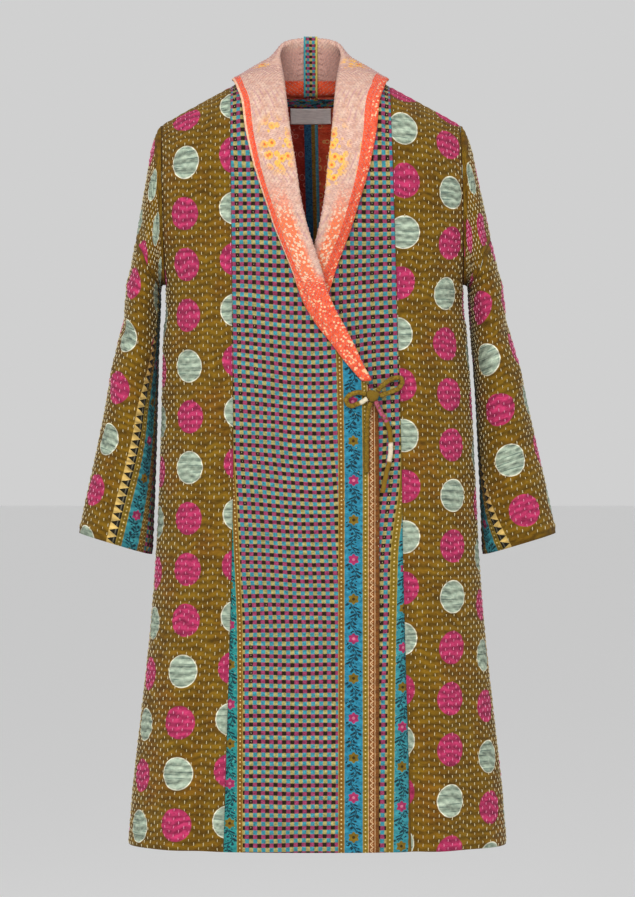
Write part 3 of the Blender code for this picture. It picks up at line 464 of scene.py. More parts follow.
def frontPanel(name, ownSide, part, materials):
    centre = part == "centre"
    q = np.linspace(panel["top"], hemArc, panel["rows"] + 1)
    seam = seamPlace(panelSeam, q, ownSide)
    gap = ownSide * seamGap / 2
    if centre:
        x0, x1 = seamPlace(lapelSeam, q, ownSide) + gap, seam - gap
    else:
        x0, x1 = seam + gap, sideLimit(ownSide, q)
    width = panel["centre"] if centre else panel["side"]
    columns = evenColumns(width)
    grain = readTable((checkLines if centre else dotLines)[ownSide], formLevel(seam, q))
    x, u = evenRows(x0, x1, q, columns, grain)
    arc = np.repeat(q[:, None], columns + 1, axis=1)
    points = formPoints(x, arc)
    normals = formNormals(x, arc)
    v = printDown(q, points[..., 2])
    if ownSide > 0:
        points = points - normals * wrapSink(x, points[..., 2])[..., None]
    z = points[..., 2]
    cloth = band = np.stack([u, v], axis=-1)
    if centre:
        e = evenRows(x0, x1, q, columns, np.full_like(q, -ownSide * form["frontEdge"]))[1] * ownSide
        band = np.stack([e, v], axis=-1)
        reach = smoothStep(-0.72, -0.40, z) * (1 - smoothStep(-0.34, -0.15, z))
        dip = drape["drop"] * reach * np.exp(-((x - drape["x"]) / drape["width"]) ** 2)
        cloth = np.stack([u, v - dip], axis=-1)
    options = {"level": -seamGap / 2, "width": width, "armhole": not centre, "maps": [cloth, band]}
    return bodyWall(name, x, q, u, v, points, normals, creaseHeight(frontCreases[ownSide], x, z),
                    np.abs(points[..., 1]) < seamGap, options, materials)


def backNeckArc(x):
    share = np.minimum(np.abs(x) / form["neckHalfWidth"], 1.0)
    z = form["shoulderTop"] - form["backNeckDrop"] * (1.0 - share ** 3)
    return np.where(share >= 1.0, 0.0, arcAtLevel(np.abs(x), z))


# Arc on the back for an even arc q down the cloth at x, settled under the neckline
def backArc(x, q):
    top = backNeckArc(x)
    ridge = form["ridgeArc"]
    return -np.maximum(np.where(q < ridge, top + (ridge - top) * q / ridge, q), panel["top"])


def backPanel(name, ownSide, materials):
    q = np.linspace(0.0, hemArc, panel["rows"] + 1)
    low = -np.maximum(q, panel["top"])
    x0 = np.full_like(q, ownSide * seamGap / 2)
    x, u = evenRows(x0, sideLimit(ownSide, low), low, evenColumns(panel["back"]), np.zeros_like(q))
    arc = backArc(x, q[:, None])
    points = formPoints(x, arc)
    normals = formNormals(x, arc)
    neckline = (q[:, None] == 0) & (np.abs(x) > form["neckHalfWidth"] - seamGap)
    options = {"level": seamGap / 2, "width": panel["back"], "armhole": True,
               "maps": [np.stack([u, -arc], axis=-1)] * 2}
    return bodyWall(name, x, q, u, -arc, points, normals, creaseHeight(backCreases, x, points[..., 2]),
                    (points[..., 1] < 2 * seamGap) | neckline, options, materials)


# Outer line, inner line, depth and place along Y of the sleeve, from the armhole to the cuff
sleeveRows = np.array([
    (0.1945, -0.0380, 0.1945, -0.2450, 0.056, 0.000), (0.2070, -0.0650, 0.1975, -0.2440, 0.066, 0.008),
    (0.2130, -0.0950, 0.2000, -0.2450, 0.074, 0.016), (0.2210, -0.1340, 0.2015, -0.2470, 0.082, 0.022),
    (0.2290, -0.1740, 0.2022, -0.2500, 0.087, 0.027), (0.2370, -0.2130, 0.2028, -0.2550, 0.089, 0.031),
    (0.2450, -0.2520, 0.2035, -0.2780, 0.088, 0.033), (0.2540, -0.3040, 0.2060, -0.3240, 0.083, 0.034),
    (0.2670, -0.3560, 0.2085, -0.3750, 0.077, 0.033), (0.2770, -0.4080, 0.2105, -0.4290, 0.071, 0.030),
    (0.2880, -0.4610, 0.2125, -0.4840, 0.065, 0.026), (0.2995, -0.5130, 0.2145, -0.5390, 0.060, 0.021),
    (0.3115, -0.5690, 0.2165, -0.5970, 0.056, 0.015),
])
sleeve = {
    "rings": 200, "ringSize": 0.0028, "sides": 96, "seam": 72, "power": 2.2, "hold": 0.09,
    "dots": {-1: 0.087, 1: 0.082},
}

# Distance above the cuff and arc from the outer fold at which the bands of each lower sleeve start
sleeveBands = {
    -1: np.array([(0.000, 0.0740), (0.059, 0.0802), (0.104, 0.0871), (0.150, 0.0939), (0.186, 0.0985),
                  (0.250, 0.118), (0.335, 0.150), (0.600, 0.160)]),
    1: np.array([(0.000, 0.0970), (0.129, 0.1400), (0.230, 0.155), (0.260, 0.165), (0.335, 0.185),
                 (0.600, 0.200)]),
}
# Distance above the cuff and arc from the outer fold of the column of dots on each lower sleeve
sleeveDots = {
    -1: np.array([(0.000, 0.0375), (0.059, 0.0405), (0.129, 0.0538), (0.197, 0.0654), (0.267, 0.0712),
                  (0.332, 0.0744), (0.600, 0.0800)]),
    1: np.array([(0.000, 0.0680), (0.042, 0.0735), (0.110, 0.0846), (0.176, 0.0939), (0.244, 0.1069),
                 (0.316, 0.1131), (0.600, 0.1200)]),
}


def sleeveSurface(ownSide, place, angle):
    place, angle = np.broadcast_arrays(place, angle)
    keys = np.linspace(0.0, 1.0, len(sleeveRows))
    outX, outZ, inX, inZ, depth, middle = [readCurve(keys, sleeveRows[:, k], place) for k in range(6)]
    power = 2 / sleeve["power"]
    c = np.copysign(np.abs(np.cos(angle)) ** power, np.cos(angle))
    s = np.copysign(np.abs(np.sin(angle)) ** power, np.sin(angle))
    share = (1 + c) / 2
    x = inX + (outX - inX) * share
    z = inZ + (outZ - inZ) * share
    y = middle - depth * s
    hold = 1.0 - smoothStep(0.0, sleeve["hold"], place)
    arc = arcAtLevel(np.full_like(z, form["armhole"]), np.maximum(z, form["underarm"]))
    edge = formPoints(form["armhole"], np.where(s > 0, arc, -arc))[..., 1]
    y = y + (edge - y) * hold
    return np.stack([ownSide * x + body("lean", z), y, z], axis=-1)


# Creases of the sleeves in cloth places: arc from the outer fold, distance above the cuff, both ends
sleeveCreases = [
    (-0.020, 0.300, 0.110, 0.250, 0.012, -0.0034), (0.000, 0.335, 0.120, 0.320, 0.010, 0.0026),
    (0.010, 0.240, 0.100, 0.170, 0.011, 0.0028), (-0.060, 0.270, 0.040, 0.215, 0.012, -0.0028),
    (0.040, 0.430, 0.130, 0.350, 0.012, -0.0032), (0.020, 0.150, 0.090, 0.080, 0.013, -0.0024),
    (-0.120, 0.330, -0.030, 0.280, 0.012, 0.0030), (-0.110, 0.220, -0.020, 0.160, 0.012, -0.0028),
    (-0.130, 0.420, -0.050, 0.370, 0.013, -0.0030),
]


def sleevePieces(sideName, ownSide, upperMaterials, lowerMaterials):
    place = np.linspace(0.0, 1.0, sleeve["rings"] + 1)[:, None]
    angle = math.pi + turn * np.arange(sleeve["sides"] + 1)[None, :] / sleeve["sides"]
    points = sleeveSurface(ownSide, place, angle)
    middles = points[:, :-1].mean(axis=1, keepdims=True)
    around = np.roll(points[:, :-1], -1, axis=1) - np.roll(points[:, :-1], 1, axis=1)
    around = np.concatenate([around, around[:, :1]], axis=1)
    along = np.gradient(points, axis=0)
    normals = unit(np.cross(around, along))
    facing = np.sum(normals * (points - middles), axis=-1, keepdims=True)
    normals = np.where(facing > 0, normals, -normals)
    normals[0] = unit(points[0] - middles[0])
    u = wayAlong(points, 1)
    u = u - u[:, sleeve["sides"] // 2, None]
    v = wayAlong(points[::-1])[::-1]
    creases = creaseHeight(sleeveCreases, u, v)
    seamRow = sleeve["seam"]
    rows = np.arange(sleeve["rings"] + 1)[:, None]
    settled = creases * smoothStep(0.0, 0.03, rows * sleeve["ringSize"])
    near = np.minimum(np.minimum(rows, sleeve["rings"] - rows), np.abs(rows - seamRow)) * sleeve["ringSize"]
    keep = smoothStep(-0.002, panel["press"], near)
    height = quiltHeight(u, v) * keep
    relief = reliefOf(height, keep)
    height += settled
    height[:, -1] = height[:, 0]
    outer = points + normals * height[..., None]
    inner = points + normals * (settled * 0.8 - wall)[..., None]
    edge = ownSide * (form["armhole"] + seamGap) + body("lean", points[0, :, 2])
    outer[0, :, 0] = edge
    inner[0, :, 0] = edge
    bandStart = readTable(sleeveBands[ownSide], v)
    dotStart = readTable(sleeveDots[ownSide], v)
    grids = {
        "upper": (u - sleeve["dots"][ownSide], np.abs(u), slice(0, seamRow + 1), (-1, -2), upperMaterials),
        "lower": (u - dotStart, np.abs(u) - bandStart, slice(seamRow, None), (0, 1), lowerMaterials),
    }
    normals = gridNormals(outer, normals)
    for part, (dotU, band, rowsOf, (end, beside), materials) in grids.items():
        maps = [np.stack([place, v], axis=-1)[rowsOf] for place in (dotU, band)]
        skins = [skin[rowsOf, :-1].copy() for skin in (outer, inner)]
        for skin in skins:
            skin[end] += unit(skin[beside] - skin[end]) * seamGap / 2
        name = "sleeve_%s_%s" % (sideName, part)
        item = wallObject(name, *skins, maps, materials, closed=True, relief=relief[rowsOf, :-1])
        yield name, item, {"skin": outer[rowsOf], "normals": normals[rowsOf], "u": u[rowsOf], "v": v[rowsOf]}


# Along the neck seam, over across and down: the collar's folded edge and how far its fall passes the seam
collarRows = [
    (0.000, None, 0.000, 0.046, 0.080, 0.000, 0.016), (0.030, None, 0.020, 0.041, 0.078, 0.001, 0.016),
    (0.060, None, 0.036, 0.027, 0.071, 0.004, 0.014), (0.082, None, 0.041, 0.008, 0.056, 0.006, 0.008),
    (0.090, 0.0180, 0.038, -0.022, 0.037, 0.008, 0.000), (None, 0.0020, 0.034, -0.050, 0.012, 0.006, 0.002),
    (None, -0.0200, 0.031, -0.082, -0.018, 0.007, 0.002),
    (None, -0.0500, 0.0275, -0.108, -0.052, 0.010, 0.004),
    (None, -0.0900, 0.0215, -0.127, -0.098, 0.011, 0.004),
    (None, -0.1350, 0.0165, -0.1365, -0.1420, 0.010, 0.004),
    (None, -0.1720, 0.0085, -0.1395, -0.1800, 0.010, 0.004),
    (None, -0.2245, -0.0076, -0.1410, -0.2330, 0.010, 0.004),
    (None, -0.2685, -0.0145, -0.1405, -0.2580, 0.009, 0.004),
    (None, -0.2965, -0.0258, -0.1385, -0.2850, 0.008, 0.004),
    (None, -0.3165, -0.0370, -0.1360, -0.3055, 0.006, 0.004),
    (None, -0.3420, -0.0505, -0.1325, -0.3330, 0.005, 0.004),
    (None, -0.3610, -0.0605, -0.1290, -0.3565, 0.003, 0.003),
    (None, -0.3755, -0.0690, -0.1270, -0.3725, 0.002, 0.002),
]
collar = {
    "roll": 0.0046, "rollEnd": 0.0026, "clearance": 0.0042, "bow": 0.004, "gap": 0.0007, "lift": 0.0045,
    "ease": 0.30, "end": 0.4530, "backSteps": 44, "frontSteps": 196, "stand": 10, "turn": 10, "fall": 16,
}


# The neck seam of one side, from the centre back over the neck point to the tie
def neckLine(ownSide):
    back = ownSide * np.linspace(seamGap / 2, form["neckHalfWidth"], collar["backSteps"] + 1)[:-1]
    front = np.linspace(panel["top"], collar["end"], collar["frontSteps"] + 1)
    lapel = seamPlace(lapelSeam, front, ownSide)
    x = np.concatenate([back, lapel])
    q = np.concatenate([backArc(back, np.zeros_like(back)), front])
    points = formPoints(x, q)
    normals = formNormals(x, q)
    sink = wrapSink(x, points[:, 2]) * (q > 0) * (ownSide > 0)
    points = points - normals * sink[:, None]
    return x, q, points, normals, sink


def clearOfBody(points, seamX, ownSide):
    x = points[:, 0] - body("lean", points[:, 2])
    free = (points[:, 1] > -0.010) | ((x - seamX) * ownSide < -0.004)
    free |= points[:, 2] > ridgeLevel(x) - 0.003
    arc = arcAtLevel(x, points[:, 2])
    normal = formNormals(x, arc)
    sink = wrapSink(x, points[:, 2]) if ownSide > 0 else 0.0
    limit = formPoints(x, arc)[:, 1] + sink - collar["clearance"] / np.maximum(-normal[:, 1], 0.35)
    moved = points.copy()
    moved[:, 1] = np.where(free, points[:, 1], np.minimum(points[:, 1], limit))
    return moved


def collarPiece(name, ownSide, materials):
    x, q, seam, normal, sink = neckLine(ownSide)
    arc = wayAlong(seam)
    keys = []
    for row in collarRows:
        if row[0] is not None:
            at = np.interp(row[0], np.abs(x[q < 0.001]), arc[q < 0.001])
        else:
            ahead = q > 0.001
            at = np.interp(-row[1], -seam[ahead][:, 2], arc[ahead])
        keys.append((at,) + row[2:])
    keys = np.array(keys)
    rollX, rollY, rollZ, over, down = [readTable(keys, arc, k) for k in range(1, 6)]
    roll = np.stack([ownSide * rollX + body("lean", rollZ), rollY, rollZ], axis=-1)
    if ownSide > 0:
        hide = 1.0 - smoothStep(-0.230, -0.150, seam[:, 2])
        roll[:, 1] += sink + (seam[:, 1] + sink - roll[:, 1]) * collar["ease"] * hide
    behind = q < -0.0007
    edgeX = x + ownSide * over
    edgeQ = np.where(behind, q - down, q + down)
    edgeQ = np.where(np.abs(edgeQ) > 0.002, edgeQ, np.where(behind, -0.002, 0.002))
    edgeSink = wrapSink(edgeX, seam[:, 2]) if ownSide > 0 else 0.0
    clearance = collar["clearance"] + collar["lift"] * smoothStep(0.004, form["shoulderTop"], seam[:, 2])
    edge = formPoints(edgeX, edgeQ) + formNormals(edgeX, edgeQ) * (clearance - edgeSink)[:, None]
    start = seam - normal * wall / 2
    toward = roll - start
    share = arc / arc[-1]
    radius = (collar["roll"] + (collar["rollEnd"] - collar["roll"]) * smoothStep(0.55, 1.0, share))[:, None]
    across = unit(toward)
    lift = edge - start
    outward = unit(lift - across * np.sum(lift * across, axis=1, keepdims=True))
    along = np.gradient(seam, axis=0)
    away = unit(np.cross(normal, along)) * -ownSide
    start = start + away * collar["gap"]
    centre = roll - across * radius
    inside = centre - outward * radius
    outside = centre + outward * radius
    line = [start + (inside - start) * k / collar["stand"] for k in range(collar["stand"])]
    for k in range(collar["turn"] + 1):
        angle = math.pi * k / collar["turn"]
        line.append(centre - outward * radius * math.cos(angle) + across * radius * math.sin(angle))
    bowSize = np.minimum(np.linalg.norm(toward, axis=1) / 0.04, 1.0)[:, None] * collar["bow"]
    for k in range(1, collar["fall"] + 1):
        t = k / collar["fall"]
        bow = math.sin(math.pi * t) * bowSize
        line.append(clearOfBody(outside + (edge - outside) * t + outward * bow, x, ownSide))
    middle = np.stack(line, axis=1)
    middle[0, :, 0] = ownSide * seamGap / 2
    grain = np.gradient(middle, axis=0)
    around = np.gradient(middle, axis=1)
    faces = unit(np.cross(unit(grain), around)) * ownSide
    u = wayAlong(middle, 1)
    v = np.repeat(arc[:, None], middle.shape[1], axis=1)
    band = np.stack([u[:, -1:] - u, v], axis=-1)
    ribs = 0.5 + 0.5 * np.cos(turn * (v + 0.0016 * softNoise(u, v, 0.03, 3)) / 0.0072)
    ribs *= 1.0 + 0.3 * softNoise(u, v, 0.04, 7)
    pleat = -0.0012 * np.exp(-((band[..., 0] - 0.0095) / 0.0016) ** 2)
    edgeKeep = smoothStep(0.0, 0.004, np.minimum(u, band[..., 0]))
    height = (0.0004 * ribs + pleat) * edgeKeep
    outer = middle + faces * (wall / 2 + height)[..., None]
    inner = middle - faces * wall / 2
    seamOut = seam + away * collar["gap"]
    seamIn = seamOut - normal * wall
    flip = np.sum((outer[:, 0] - inner[:, 0]) * normal, axis=1)[:, None] > 0
    outer[:, 0] = np.where(flip, seamOut, seamIn)
    inner[:, 0] = np.where(flip, seamIn, seamOut)
    for skin in (outer, inner):
        skin[0, :, 0] = ownSide * seamGap / 2
    item = wallObject(name, outer, inner, [np.stack([u, v], axis=-1), band], materials)
    grids = {"skin": outer, "normals": gridNormals(outer, faces), "u": u, "v": v}
    return item, grids, inner


# Thin strips on the inside of the back, between two distances from its lining
strips = {
    "back_seam_binding": {"x": 0.00925, "q": (0.008, hemArc - 0.002), "low": 0.0003, "high": 0.0013,
                          "grid": (288, 8)},
    "neck_binding": {"x": 0.074, "q": (0.003, 0.030), "low": 0.0016, "high": 0.0026, "grid": (12, 64)},
    "label": {"x": 0.027, "q": (0.036, 0.080), "low": 0.0016, "high": 0.0022, "grid": (16, 24)},
}


def stripPiece(name, materials):
    size = strips[name]
    rows, columns = size["grid"]
    q = np.linspace(size["q"][0], size["q"][1], rows + 1)[:, None]
    x = np.linspace(-size["x"], size["x"], columns + 1)[None, :]
    x, q = np.broadcast_arrays(x, q)
    arc = backArc(x, q)
    points = formPoints(x, arc)
    normals = formNormals(x, arc)
    points = points + normals * (creaseHeight(backCreases, x, points[..., 2]) * 0.8 - wall)[..., None]
    maps = [np.stack([x, q], axis=-1)] * 2
    far = points - normals * size["high"]
    near = points - normals * size["low"]
    return wallObject(name, far, near, maps, materials)


def collarStrip(name, face, materials):
    half, columns = 0.009, 8
    line = face[0, 0:17]
    steps = np.gradient(line, axis=0)
    normals = unit(np.stack([np.zeros(len(line)), -steps[:, 2], steps[:, 1]], axis=-1))
    normals = np.where(normals[:, 1:2] < 0, normals, -normals)
    x = np.linspace(-half, half, columns + 1)
    base = np.repeat(line[:, None], columns + 1, axis=1)
    base[..., 0] = x
    base[..., 1] -= (x / half) ** 2 * 0.0018
    near = base + normals[:, None] * 0.0007
    far = base + normals[:, None] * 0.0017
    u, v = np.meshgrid(x, wayAlong(line))
    return wallObject(name, far, near, [np.stack([u, v], axis=-1)] * 2, materials)


# Tie: centre line of each strand from the middle of the knot, as across, up and forward
tie = {"thickness": 0.0062, "x": 0.0715, "stand": 0.0077, "knot": (0.0085, 0.0065, 0.0078), "sides": 14}
tieStrands = {
    "tie_loop_right": [(0.0093, 0.0000, 0.000), (0.021, 0.004, 0.002), (0.031, 0.008, 0.001),
                       (0.038, 0.015, -0.001), (0.037, 0.022, -0.001), (0.030, 0.023, -0.001),
                       (0.019, 0.018, -0.001), (0.0061, 0.0061, 0.000)],
    "tie_loop_left": [(-0.0087, 0.0023, 0.000), (-0.020, 0.004, 0.001), (-0.030, 0.000, 0.000),
                      (-0.034, -0.007, -0.001), (-0.028, -0.013, -0.001), (-0.018, -0.010, -0.001),
                      (-0.0068, -0.0040, 0.000)],
    "tie_end_left": [(-0.0023, -0.0086, 0.000), (-0.0065, -0.022, -0.001), (-0.0075, -0.040, -0.0028),
                     (-0.0085, -0.060, -0.0030), (-0.0085, -0.080, -0.0030), (-0.0090, -0.098, -0.0030)],
    "tie_end_right": [(0.0040, -0.0071, 0.000), (0.0090, -0.019, 0.001), (0.0165, -0.031, -0.001),
                      (0.0210, -0.045, -0.0028), (0.0225, -0.062, -0.0030), (0.0210, -0.080, -0.0030),
                      (0.0165, -0.100, -0.0030), (0.0115, -0.124, -0.0030)],
}


def tieRoute(name):
    offsets = np.array(tieStrands[name])
    x = tie["x"] + offsets[:, 0]
    z = form["tie"] + offsets[:, 1]
    surface = formPoints(x, arcAtLevel(x, z))
    keys = np.stack([surface[:, 0], surface[:, 1] - tie["stand"] - offsets[:, 2], z], axis=-1)
    padded = np.concatenate([keys[:1], keys, keys[-1:]])
    route = []
    for i in range(len(keys) - 1):
        p0, p1, p2, p3 = padded[i:i + 4]
        for t in np.linspace(0.0, 1.0, 9)[:-1]:
            bend = (2 * p0 - 5 * p1 + 4 * p2 - p3) * t * t + (3 * p1 - p0 - 3 * p2 + p3) * t ** 3
            route.append(0.5 * (2 * p1 + (p2 - p0) * t + bend))
    return np.array(route + [keys[-1]])


def tieStrand(name, materials, seed):
    route = tieRoute(name)
    arc = wayAlong(route)
    even = np.linspace(0.0, arc[-1], max(int(arc[-1] / 0.0016), 12) + 1)
    centres = pointsAt(even, arc, route)
    heading = unit(np.gradient(centres, axis=0))
    side = unit(np.cross(heading, np.array([0.0, 1.0, 0.0])))
    front = np.cross(side, heading)
    sides = tie["sides"]
    angle = turn * np.arange(sides)[None, :] / sides
    s = even[:, None]
    pinch = 1.0 + 0.07 * np.sin(s * 420 + angle + seed) + 0.05 * np.sin(s * 910 - angle * 2 + seed)
    flat = 1.0 - 0.12 * np.sin(s * 160 + seed)
    radius = tie["thickness"] / 2 * pinch
    ring = centres[:, None] + side[:, None] * (np.cos(angle) * radius)[..., None]
    ring = ring + front[:, None] * (np.sin(angle) * radius * flat)[..., None]
    vertices = ring.reshape(-1, 3).tolist() + [centres[0].tolist(), centres[-1].tolist()]
    rows = len(centres)
    faces = []
    for i in range(rows - 1):
        for j in range(sides):
            k = (j + 1) % sides
            faces.append((i * sides + j, i * sides + k, (i + 1) * sides + k, (i + 1) * sides + j))
    for j in range(sides):
        k = (j + 1) % sides
        faces.append((k, j, rows * sides))
        faces.append(((rows - 1) * sides + j, (rows - 1) * sides + k, rows * sides + 1))
    mesh = bpy.data.meshes.new(name)
    mesh.from_pydata(vertices, [], faces)
    layer = mesh.uv_layers.new(name="cloth")
    owner = np.empty(len(mesh.loops), dtype=np.int32)
    mesh.loops.foreach_get("vertex_index", owner)
    places = np.append(np.repeat(even, sides), [even[0], even[-1]])
    aroundAt = np.append(np.tile(angle[0] * tie["thickness"] / 2, rows), [0.0, 0.0])
    layer.data.foreach_set("uv", np.stack([aroundAt, places], axis=-1)[owner].ravel())
    outwardFaces(mesh)
    return addPiece(name, mesh, materials), route, float(arc[-1])


def outwardFaces(mesh):
    shape = bmesh.new()
    shape.from_mesh(mesh)
    bmesh.ops.recalc_face_normals(shape, faces=shape.faces)
    shape.to_mesh(mesh)
    shape.free()


def tieKnot(materials):
    x = np.array([tie["x"]])
    surface = formPoints(x, arcAtLevel(x, np.array([form["tie"]])))[0]
    centre = surface - np.array([0.0, tie["stand"], 0.0])
    shape = bmesh.new()
    bmesh.ops.create_uvsphere(shape, u_segments=40, v_segments=28, radius=1.0)
    for vertex in shape.verts:
        a, b, c = vertex.co
        around = math.atan2(c, a)
        wrap = 1.0 + 0.10 * math.sin(3 * around + 0.6) * (1 - abs(b))
        fold = 1.0 - 0.16 * math.exp(-((a * 0.8 - c * 0.6 + 0.15) / 0.12) ** 2)
        fold -= 0.10 * math.exp(-((a * 0.5 + c * 0.85 - 0.35) / 0.10) ** 2)
        size = Vector(tie["knot"])
        vertex.co = Vector(centre) + Vector((a * size.x * wrap, b * size.y, c * size.z * wrap)) * fold
    mesh = bpy.data.meshes.new("tie_knot")
    shape.to_mesh(mesh)
    shape.free()
    return addPiece("tie_knot", mesh, materials)


def linear(hexColour):
    parts = [int(hexColour[k:k + 2], 16) / 255 for k in (0, 2, 4)]
    return tuple(c / 12.92 if c <= 0.04045 else ((c + 0.055) / 1.055) ** 2.4 for c in parts) + (1.0,)


# Adds one node and returns an output. Plain values fill its open inputs in order, named ones by name.
def add(tree, kind, *values, out=0, named=None, **settings):
    family, _, operation = kind.partition(".")
    node = tree.nodes.new(family if family.startswith("GeometryNode") else "ShaderNode" + family)
    if operation:
        node.operation = operation
    for key, value in settings.items():
        setattr(node, key, value)
    sockets = [socket for socket in node.inputs if socket.enabled]
    for socket, value in list(zip(sockets, values)) + [(node.inputs[k], v) for k, v in (named or {}).items()]:
        if isinstance(value, bpy.types.NodeSocket):
            tree.links.new(value, socket)
        elif isinstance(value, str) and socket.type == "RGBA":
            socket.default_value = linear(value)
        else:
            socket.default_value = value
    return [socket for socket in node.outputs if socket.enabled][out]


def mixColour(tree, share, first, second):
    return add(tree, "Mix", share, first, second, data_type="RGBA")


# 1 where a value lies between two limits, with soft ends
def between(tree, value, low, high, soft=0.0003):
    start = add(tree, "MapRange", value, low - soft, low + soft, 0.0, 1.0)
    end = add(tree, "MapRange", value, high - soft, high + soft, 1.0, 0.0)
    return add(tree, "Math.MULTIPLY", start, end)


def below(tree, value, limit, soft=0.0003):
    return add(tree, "MapRange", value, limit - soft, limit + soft, 1.0, 0.0)


def apart(tree, first, second):
    return add(tree, "Math.ABSOLUTE", add(tree, "Math.SUBTRACT", first, second))


def distance(tree, across, down):
    squares = add(tree, "Math.MULTIPLY_ADD", across, across, add(tree, "Math.MULTIPLY", down, down))
    return add(tree, "Math.SQRT", squares)


# Noise drawn out along the threads: how many to a metre, across and down
def streaks(tree, place, across, down, detail=1.0):
    stretched = add(tree, "VectorMath.MULTIPLY", place, (across, down, 1.0))
    return add(tree, "TexNoise", stretched, named={"Scale": 1.0, "Detail": detail})


def newMaterial(name):
    material = bpy.data.materials.new(name)
    material.use_nodes = True
    return material, material.node_tree, material.node_tree.nodes["Principled BSDF"]


def mapPlace(tree, label, stray=0.0004):
    place = add(tree, "UVMap", uv_map=label)
    noise = add(tree, "TexNoise", place, named={"Scale": 420.0, "Detail": 2.0}, out=1)
    shift = add(tree, "VectorMath.MULTIPLY_ADD", noise, (2 * stray,) * 3, (-stray,) * 3)
    moved = add(tree, "VectorMath.ADD", place, shift)
    parts = tree.nodes.new("ShaderNodeSeparateXYZ")
    tree.links.new(moved, parts.inputs[0])
    return place, parts.outputs[0], parts.outputs[1]


# Place in a repeat, from -0.5 to 0.5 of it, and the number of the repeat
def repeat(tree, value, size, start=0.0):
    scaled = add(tree, "Math.MULTIPLY_ADD", value, 1.0 / size, 0.5 - start / size)
    number = add(tree, "Math.FLOOR", scaled)
    local = add(tree, "Math.SUBTRACT", add(tree, "Math.SUBTRACT", scaled, number), 0.5)
    return local, number


# Cotton colour that wavers from thread to thread
def cotton(tree, place, colour, darker, lighter, scale=90.0):
    patch = add(tree, "TexNoise", place, named={"Scale": scale, "Detail": 3.0})
    thread = streaks(tree, place, 260.0, 1100.0)
    low = mixColour(tree, add(tree, "MapRange", patch, 0.35, 0.62, 0.0, 1.0), darker, colour)
    return mixColour(tree, add(tree, "MapRange", thread, 0.5, 0.8, 0.0, 0.7), low, lighter)


dotSize = {"radius": 0.0212, "rim": 0.0012}
olive = ("7C5C0E", "684806", "8A6C1C", 34.0)


# Where the printed dots lie: their discs, their pale rims, and 1 for a mint dot or 0 for a pink one
def dotMasks(tree, u, v, layout):
    out = add(tree, "Math.ABSOLUTE", u)
    across, column = repeat(tree, out, layout["across"])
    level = add(tree, "Math.MULTIPLY_ADD", out, -layout["tilt"], v)
    down, row = repeat(tree, level, layout["pitch"], layout["row"])
    across = add(tree, "Math.MULTIPLY", across, layout["across"])
    lean = add(tree, "Math.MULTIPLY", across, layout["tilt"])
    radius = distance(tree, across, add(tree, "Math.MULTIPLY_ADD", down, layout["pitch"], lean))
    disc = below(tree, radius, dotSize["radius"], 0.0004)
    rim = between(tree, radius, dotSize["radius"] - dotSize["rim"], dotSize["radius"] + 0.0004, 0.0005)
    plain = add(tree, "Math.SUBTRACT", 1.0, add(tree, "Math.PINGPONG", row, 1.0))
    sixth = add(tree, "Math.FLOORED_MODULO", add(tree, "Math.ADD", row, layout["shift"]), 6.0)
    special = add(tree, "Math.COMPARE", apart(tree, sixth, 3.0), 2.0, 0.5)
    mint = add(tree, "Mix", add(tree, "Math.PINGPONG", column, 1.0), plain, special)
    return disc, rim, mint


def dotColour(tree, place, u, v, layout):
    ground = cotton(tree, place, *olive)
    brown = add(tree, "TexNoise", place, named={"Scale": 14.0, "Detail": 2.0})
    ground = mixColour(tree, add(tree, "MapRange", brown, 0.50, 0.72, 0.0, 0.55), ground, "7C4C12")
    pink = cotton(tree, place, "BC3462", "A02850", "CE5078", 120.0)
    slub = streaks(tree, place, 28.0, 430.0, 2.0)
    mint = cotton(tree, place, "B0BEA8", "94A692", "C8D0BA", 150.0)
    mint = mixColour(tree, add(tree, "MapRange", slub, 0.56, 0.64, 0.0, 0.85), mint, "62746A")
    disc, rim, isMint = dotMasks(tree, u, v, layout)
    mint = mixColour(tree, rim, mint, "EDEBD4")
    dot = mixColour(tree, isMint, pink, mint)
    return mixColour(tree, disc, ground, dot)


# Woven check: dark squares where columns meet rows, with rows and columns that sway a little
check = {"across": 0.0105, "down": 0.0109, "sway": 0.004, "swayDown": 0.006}


def checkColour(tree, place, u, v, across=check["across"], down=check["down"]):
    sway = add(tree, "TexNoise", place, named={"Scale": 11.0, "Detail": 1.0})
    lines = []
    for value, pitch, reach in ((u, across, check["sway"]), (v, down, check["swayDown"])):
        moved = add(tree, "Math.MULTIPLY_ADD", sway, reach, add(tree, "Math.SUBTRACT", value, reach / 2))
        lines.append(between(tree, repeat(tree, moved, pitch)[0], -0.25, 0.25, 0.05))
    column, row = lines
    dark = cotton(tree, place, "241C0E", "161008", "3C2E18", 300.0)
    pink = cotton(tree, place, "983A5C", "7C284A", "AE5876", 300.0)
    cream = cotton(tree, place, "AC9F62", "8E7E42", "C4B884", 300.0)
    teal = cotton(tree, place, "368E9C", "257282", "60A8AE", 300.0)
    return mixColour(tree, row, mixColour(tree, column, teal, cream), mixColour(tree, column, pink, dark))


# Gold strip with a row of pale spots between two thin pale lines
def goldStrip(tree, place, t, v, start, width, ground="7C5518"):
    pitch = 0.0052
    middle = add(tree, "Math.SUBTRACT", t, start + width / 2)
    spot = add(tree, "Math.MULTIPLY", repeat(tree, v, pitch)[0], pitch)
    colour = mixColour(tree, below(tree, distance(tree, middle, spot), 0.0010, 0.0002), ground, "D2BC80")
    line = below(tree, add(tree, "Math.ABSOLUTE", middle), width / 2 - 0.0009, 0.0002)
    return mixColour(tree, line, "9C8238", colour)


